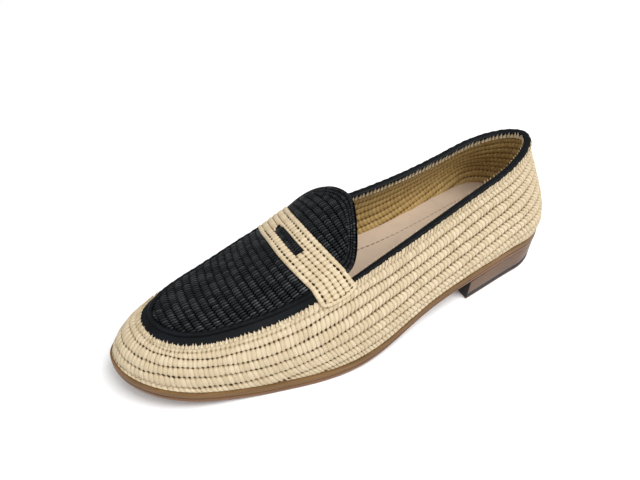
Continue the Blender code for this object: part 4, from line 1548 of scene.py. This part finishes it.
# Operators
class LOAFER_OT_wall(bpy.types.Operator):
    """Builds the crocheted wall: its outer face, its inner face and the stitches of its seams"""

    bl_idname = "loafer.wall"
    bl_label = "Crocheted wall"

    def execute(self, context):
        settings = context.scene.loafer_crochet
        outer = straw(context, "raffia_wall", (0.6, 0.98), 0.55, faint=1.0, share=toe_share)
        # The inner face: the same straw with painted shade and painted bounce light.
        inner = straw(context, "raffia_inside", (0.6,), 0.4, INSIDE_PAINTED_SHADE, (0.8,))
        for name, finish, *span in (("wall_upper_rows", outer, 0, SPLIT_ROW),
                                    ("wall_lower_rows", outer, SPLIT_ROW, ROW_COUNT),
                                    ("wall_inside", inner, 0, ROW_COUNT, True)):
            finish_piece(make_wall_skin(name, settings, *span), finish, "natural_raffia", "upper")
        front = edge_path(STRAP_FRONT, 1, SEAM_CELLS)
        back = edge_path(STRAP_BACK, 0, SEAM_CELLS)
        low, under = -BINDING_FOOT, -UPPER_WALL
        finish = straw(context, "raffia_seam", (0.0,), 0.4)
        for name, *place in (
                ("seam_stitches", front, (-2.6, 0.0), (0.2, 0.55), 11),
                ("collar_stitches", back, (low - 2.0, 0.5), (low + 1.1, 1.3), 23),
                ("collar_stitches_inside", back, (low - 1.6, under - 0.9),
                 (low + 2.8, under - 1.2), 31, -1)):
            finish_piece(make_teeth(name, settings, *place), finish, "natural_raffia", "upper")
        return {"FINISHED"}


class LOAFER_OT_apron(bpy.types.Operator):
    """Builds the dyed apron and its flap with rows round the edge"""

    bl_idname = "loafer.apron"
    bl_label = "Apron and flap"

    def execute(self, context):
        tints = context.scene.loafer_colours
        finish = black_raffia_finish("raffia_dyed", tints.dyed_light, tints.dyed_dark, 1.1)
        for name, make in (("apron_ribs", make_apron_skin), ("flap_edge", make_flap_edge),
                           ("flap_ribs", make_flap_field)):
            piece = make(name, context.scene.loafer_crochet)
            thicken(finish_piece(piece, finish, "black_raffia", "apron"), APRON_WALL)
        return {"FINISHED"}


class LOAFER_OT_strap(bpy.types.Operator):
    """Builds the saddle strap with its slot"""

    bl_idname = "loafer.strap"
    bl_label = "Saddle strap"

    def execute(self, context):
        piece = make_strap_skin("strap_rows", context.scene.loafer_crochet)
        # The strap: the same straw with a little painted light.
        finish = straw(context, "raffia_strap", (0.8, 1.45), 0.5, STRAP_PAINTED_LIGHT, (0.85, 0.2),
                       share=strap_edge_share)
        thicken(finish_piece(piece, finish, "natural_raffia", "strap"), STRAP_WALL)
        return {"FINISHED"}


class LOAFER_OT_trims(bpy.types.Operator):
    """Builds the leather piping round the apron and the binding of the collar"""

    bl_idname = "loafer.trims"
    bl_label = "Piping and binding"

    def execute(self, context):
        colour = context.scene.loafer_colours.trim
        finish = leather_finish("trim_leather", colour, 2.2, 0.55, 700.0, 0.4, 0.05)
        finish_piece(make_piping("apron_roll"), finish, "black_leather", "apron_piping")
        finish_piece(make_binding("collar_roll"), finish, "black_leather", "collar_binding")
        return {"FINISHED"}


class LOAFER_OT_soles(bpy.types.Operator):
    """Builds the sock, welt, tread leather and the heel's layers"""

    bl_idname = "loafer.soles"
    bl_label = "Sole and heel"

    def execute(self, context):
        tints = context.scene.loafer_colours
        sock = leather_finish("sock_leather", tints.sock, 0.9, 0.55, 600.0, 0.15)
        thread = leather_finish("sock_thread", tinted(tints.sock, 0.55), 0.7 / 0.55, 0.6,
                                2000.0, 0.2)
        welt = stacked_finish("welt_edge", tints.welt, 1.5, 0.5)
        sole = stacked_finish("sole_edge", tints.sole, 1.35, 0.4)
        stack = stacked_finish("heel_stack_leather", tints.heel, 1.6, 0.42, 700.0, 14.0,
                               BREAST_LINE)
        lift = leather_finish("lift_layer", tints.lift, 1.8, 0.6)
        for name, make, finish, slot, node in (
                ("sock", make_insole, sock, "lining_leather", "insole"),
                ("sock_stitches", make_sock_stitches, thread, "lining_leather", "insole"),
                ("welt_band", make_welt, welt, "welt_leather", "welt"),
                ("tread_leather", make_outsole, sole, "sole_leather", "outsole")):
            finish_piece(make(name), finish, slot, node)
        full, seam = HEEL_INSET + HEEL_TAPER, FIT_GAP * HEEL_SEAM
        tip, top = level(TIP_THICKNESS), TIP_THICKNESS + FIT_GAP + LIFT_THICKNESS
        for name, shape, finish, slot, node in (
                ("heel_layers", (full, level(top + seam), HEEL_INSET, above_tread(-seam), 0.15),
                 stack, "heel_leather", "heel_stack"),
                ("heel_lift_layer", (full, tip, full, level(top)),
                 lift, "lift_rubber", "heel_lift"),
                ("heel_tip_layer", (full + 0.1, level(0.0), full, tip),
                 sole, "sole_leather", "heel_tip")):
            finish_piece(make_heel_part(name, *shape), finish, slot, node)
        return {"FINISHED"}


class LOAFER_OT_stage(bpy.types.Operator):
    """Lays the pale floor and sets the studio's lights and camera"""

    bl_idname = "loafer.stage"
    bl_label = "Stage, lights and camera"

    def execute(self, context):
        studio = context.scene.loafer_studio
        make_floor(context)
        make_lights(context, studio)
        make_camera(context, studio)
        return {"FINISHED"}


# Stage
FLOOR_RADIUS = 4.0
FLOOR_SIDES = 96
LIGHTS = (("key_light", (0.6, 0.3, 1.2), 0.8, 1.0), ("fill_light", (0.3, -1.1, 0.9), 1.2, 0.2))
LIGHT_AIM = (0, 0, 0.03)
CAMERA_LOOK = (141.5, -12.0, 37.0)
CAMERA_TURN = (62.475, 41.845)
CAMERA_DISTANCE = 357.0
CAMERA_ROLL = 0.008


def make_floor(context):
    """A flat pale disc under the shoe."""
    turn = np.linspace(0, 2 * np.pi, FLOOR_SIDES, endpoint=False)
    rim = np.stack([np.cos(turn), np.sin(turn), 0 * turn], 1) * FLOOR_RADIUS
    mesh = bpy.data.meshes.new("floor")
    mesh.from_pydata(rim.tolist(), [], [list(range(FLOOR_SIDES))])
    f = Finish("floor_paper")
    grain = f.noise(f.place(), 60.0)
    mesh.materials.append(f.finish(
        f.mix(f.smooth(grain, 0.3, 0.7), (0.93,) * 3, (0.96,) * 3),
        f.smooth(grain, 0.2, 0.8, 0.85, 0.95)))
    floor = bpy.data.objects.new("floor", mesh)
    context.scene.collection.objects.link(floor)


def make_lights(context, studio):
    """Even white room light, a large soft light and a weaker fill.

    The large light is high on the outer side towards the heel, the fill ahead of the toe.
    """
    world = bpy.data.worlds.new("room")
    context.scene.world = world
    world.use_nodes = True
    back = world.node_tree.nodes["Background"]
    back.inputs["Color"].default_value = (1.0, 1.0, 1.0, 1.0)
    back.inputs["Strength"].default_value = studio.sky
    for name, place, size, share in LIGHTS:
        data = bpy.data.lights.new(name, "AREA")
        data.shape = "SQUARE"
        data.size = size
        data.energy = studio.key * share
        light = bpy.data.objects.new(name, data)
        light.location = place
        aim = Vector(LIGHT_AIM) - Vector(place)
        light.rotation_euler = aim.to_track_quat("-Z", "Y").to_euler()
        context.scene.collection.objects.link(light)


def make_camera(context, studio):
    """A camera on the line of sight (azimuth, elevation) at a distance, rolled a little."""
    forward, outer, height = CAMERA_LOOK
    look = (np.array([outer, -forward, height]) + SHIFT) / METRE
    azimuth, elevation = np.radians(CAMERA_TURN)
    toward = np.array([math.sin(azimuth) * math.cos(elevation),
                       -math.cos(azimuth) * math.cos(elevation), math.sin(elevation)])
    place = look + toward * CAMERA_DISTANCE / METRE
    right = unit(np.cross(-toward, UP))
    down = np.cross(-toward, right)
    turned = right * math.cos(CAMERA_ROLL) + down * math.sin(CAMERA_ROLL)
    lower = down * math.cos(CAMERA_ROLL) - right * math.sin(CAMERA_ROLL)
    axes = Matrix(np.stack([turned, -lower, toward], 1).tolist())
    data = bpy.data.cameras.new("camera")
    data.lens = studio.lens
    data.sensor_width = 36.0
    data.clip_start = 0.01
    camera = bpy.data.objects.new("camera", data)
    camera.matrix_world = Matrix.Translation(Vector(place)) @ axes.to_4x4()
    context.scene.collection.objects.link(camera)
    context.scene.camera = camera
    context.scene.view_settings.view_transform = "Standard"


# Panel
OPERATORS = (LOAFER_OT_wall, LOAFER_OT_apron, LOAFER_OT_strap, LOAFER_OT_trims,
             LOAFER_OT_soles, LOAFER_OT_stage)
GROUPS = {"loafer_crochet": CrochetSettings, "loafer_colours": ColourSettings,
          "loafer_studio": StudioSettings}


class LOAFER_PT_panel(bpy.types.Panel):
    """Lists the loafer's settings and its pieces"""

    bl_label = "Raffia loafer"
    bl_idname = "LOAFER_PT_panel"
    bl_space_type = "VIEW_3D"
    bl_region_type = "UI"
    bl_category = "Loafer"

    def draw(self, context):
        for name, group in GROUPS.items():
            box = self.layout.box()
            for key in group.__annotations__:
                box.prop(getattr(context.scene, name), key)
        for operator in OPERATORS:
            self.layout.operator(operator.bl_idname)


def register():
    for made in (*GROUPS.values(), *OPERATORS, LOAFER_PT_panel):
        bpy.utils.register_class(made)
    for name, group in GROUPS.items():
        setattr(bpy.types.Scene, name, bpy.props.PointerProperty(type=group))


def unregister():
    for name in GROUPS:
        delattr(bpy.types.Scene, name)
    for made in reversed((*GROUPS.values(), *OPERATORS, LOAFER_PT_panel)):
        bpy.utils.unregister_class(made)


def main():
    register()
    for operator in OPERATORS:
        group, name = operator.bl_idname.split(".")
        getattr(getattr(bpy.ops, group), name)()


if __name__ == "__main__":
    main()
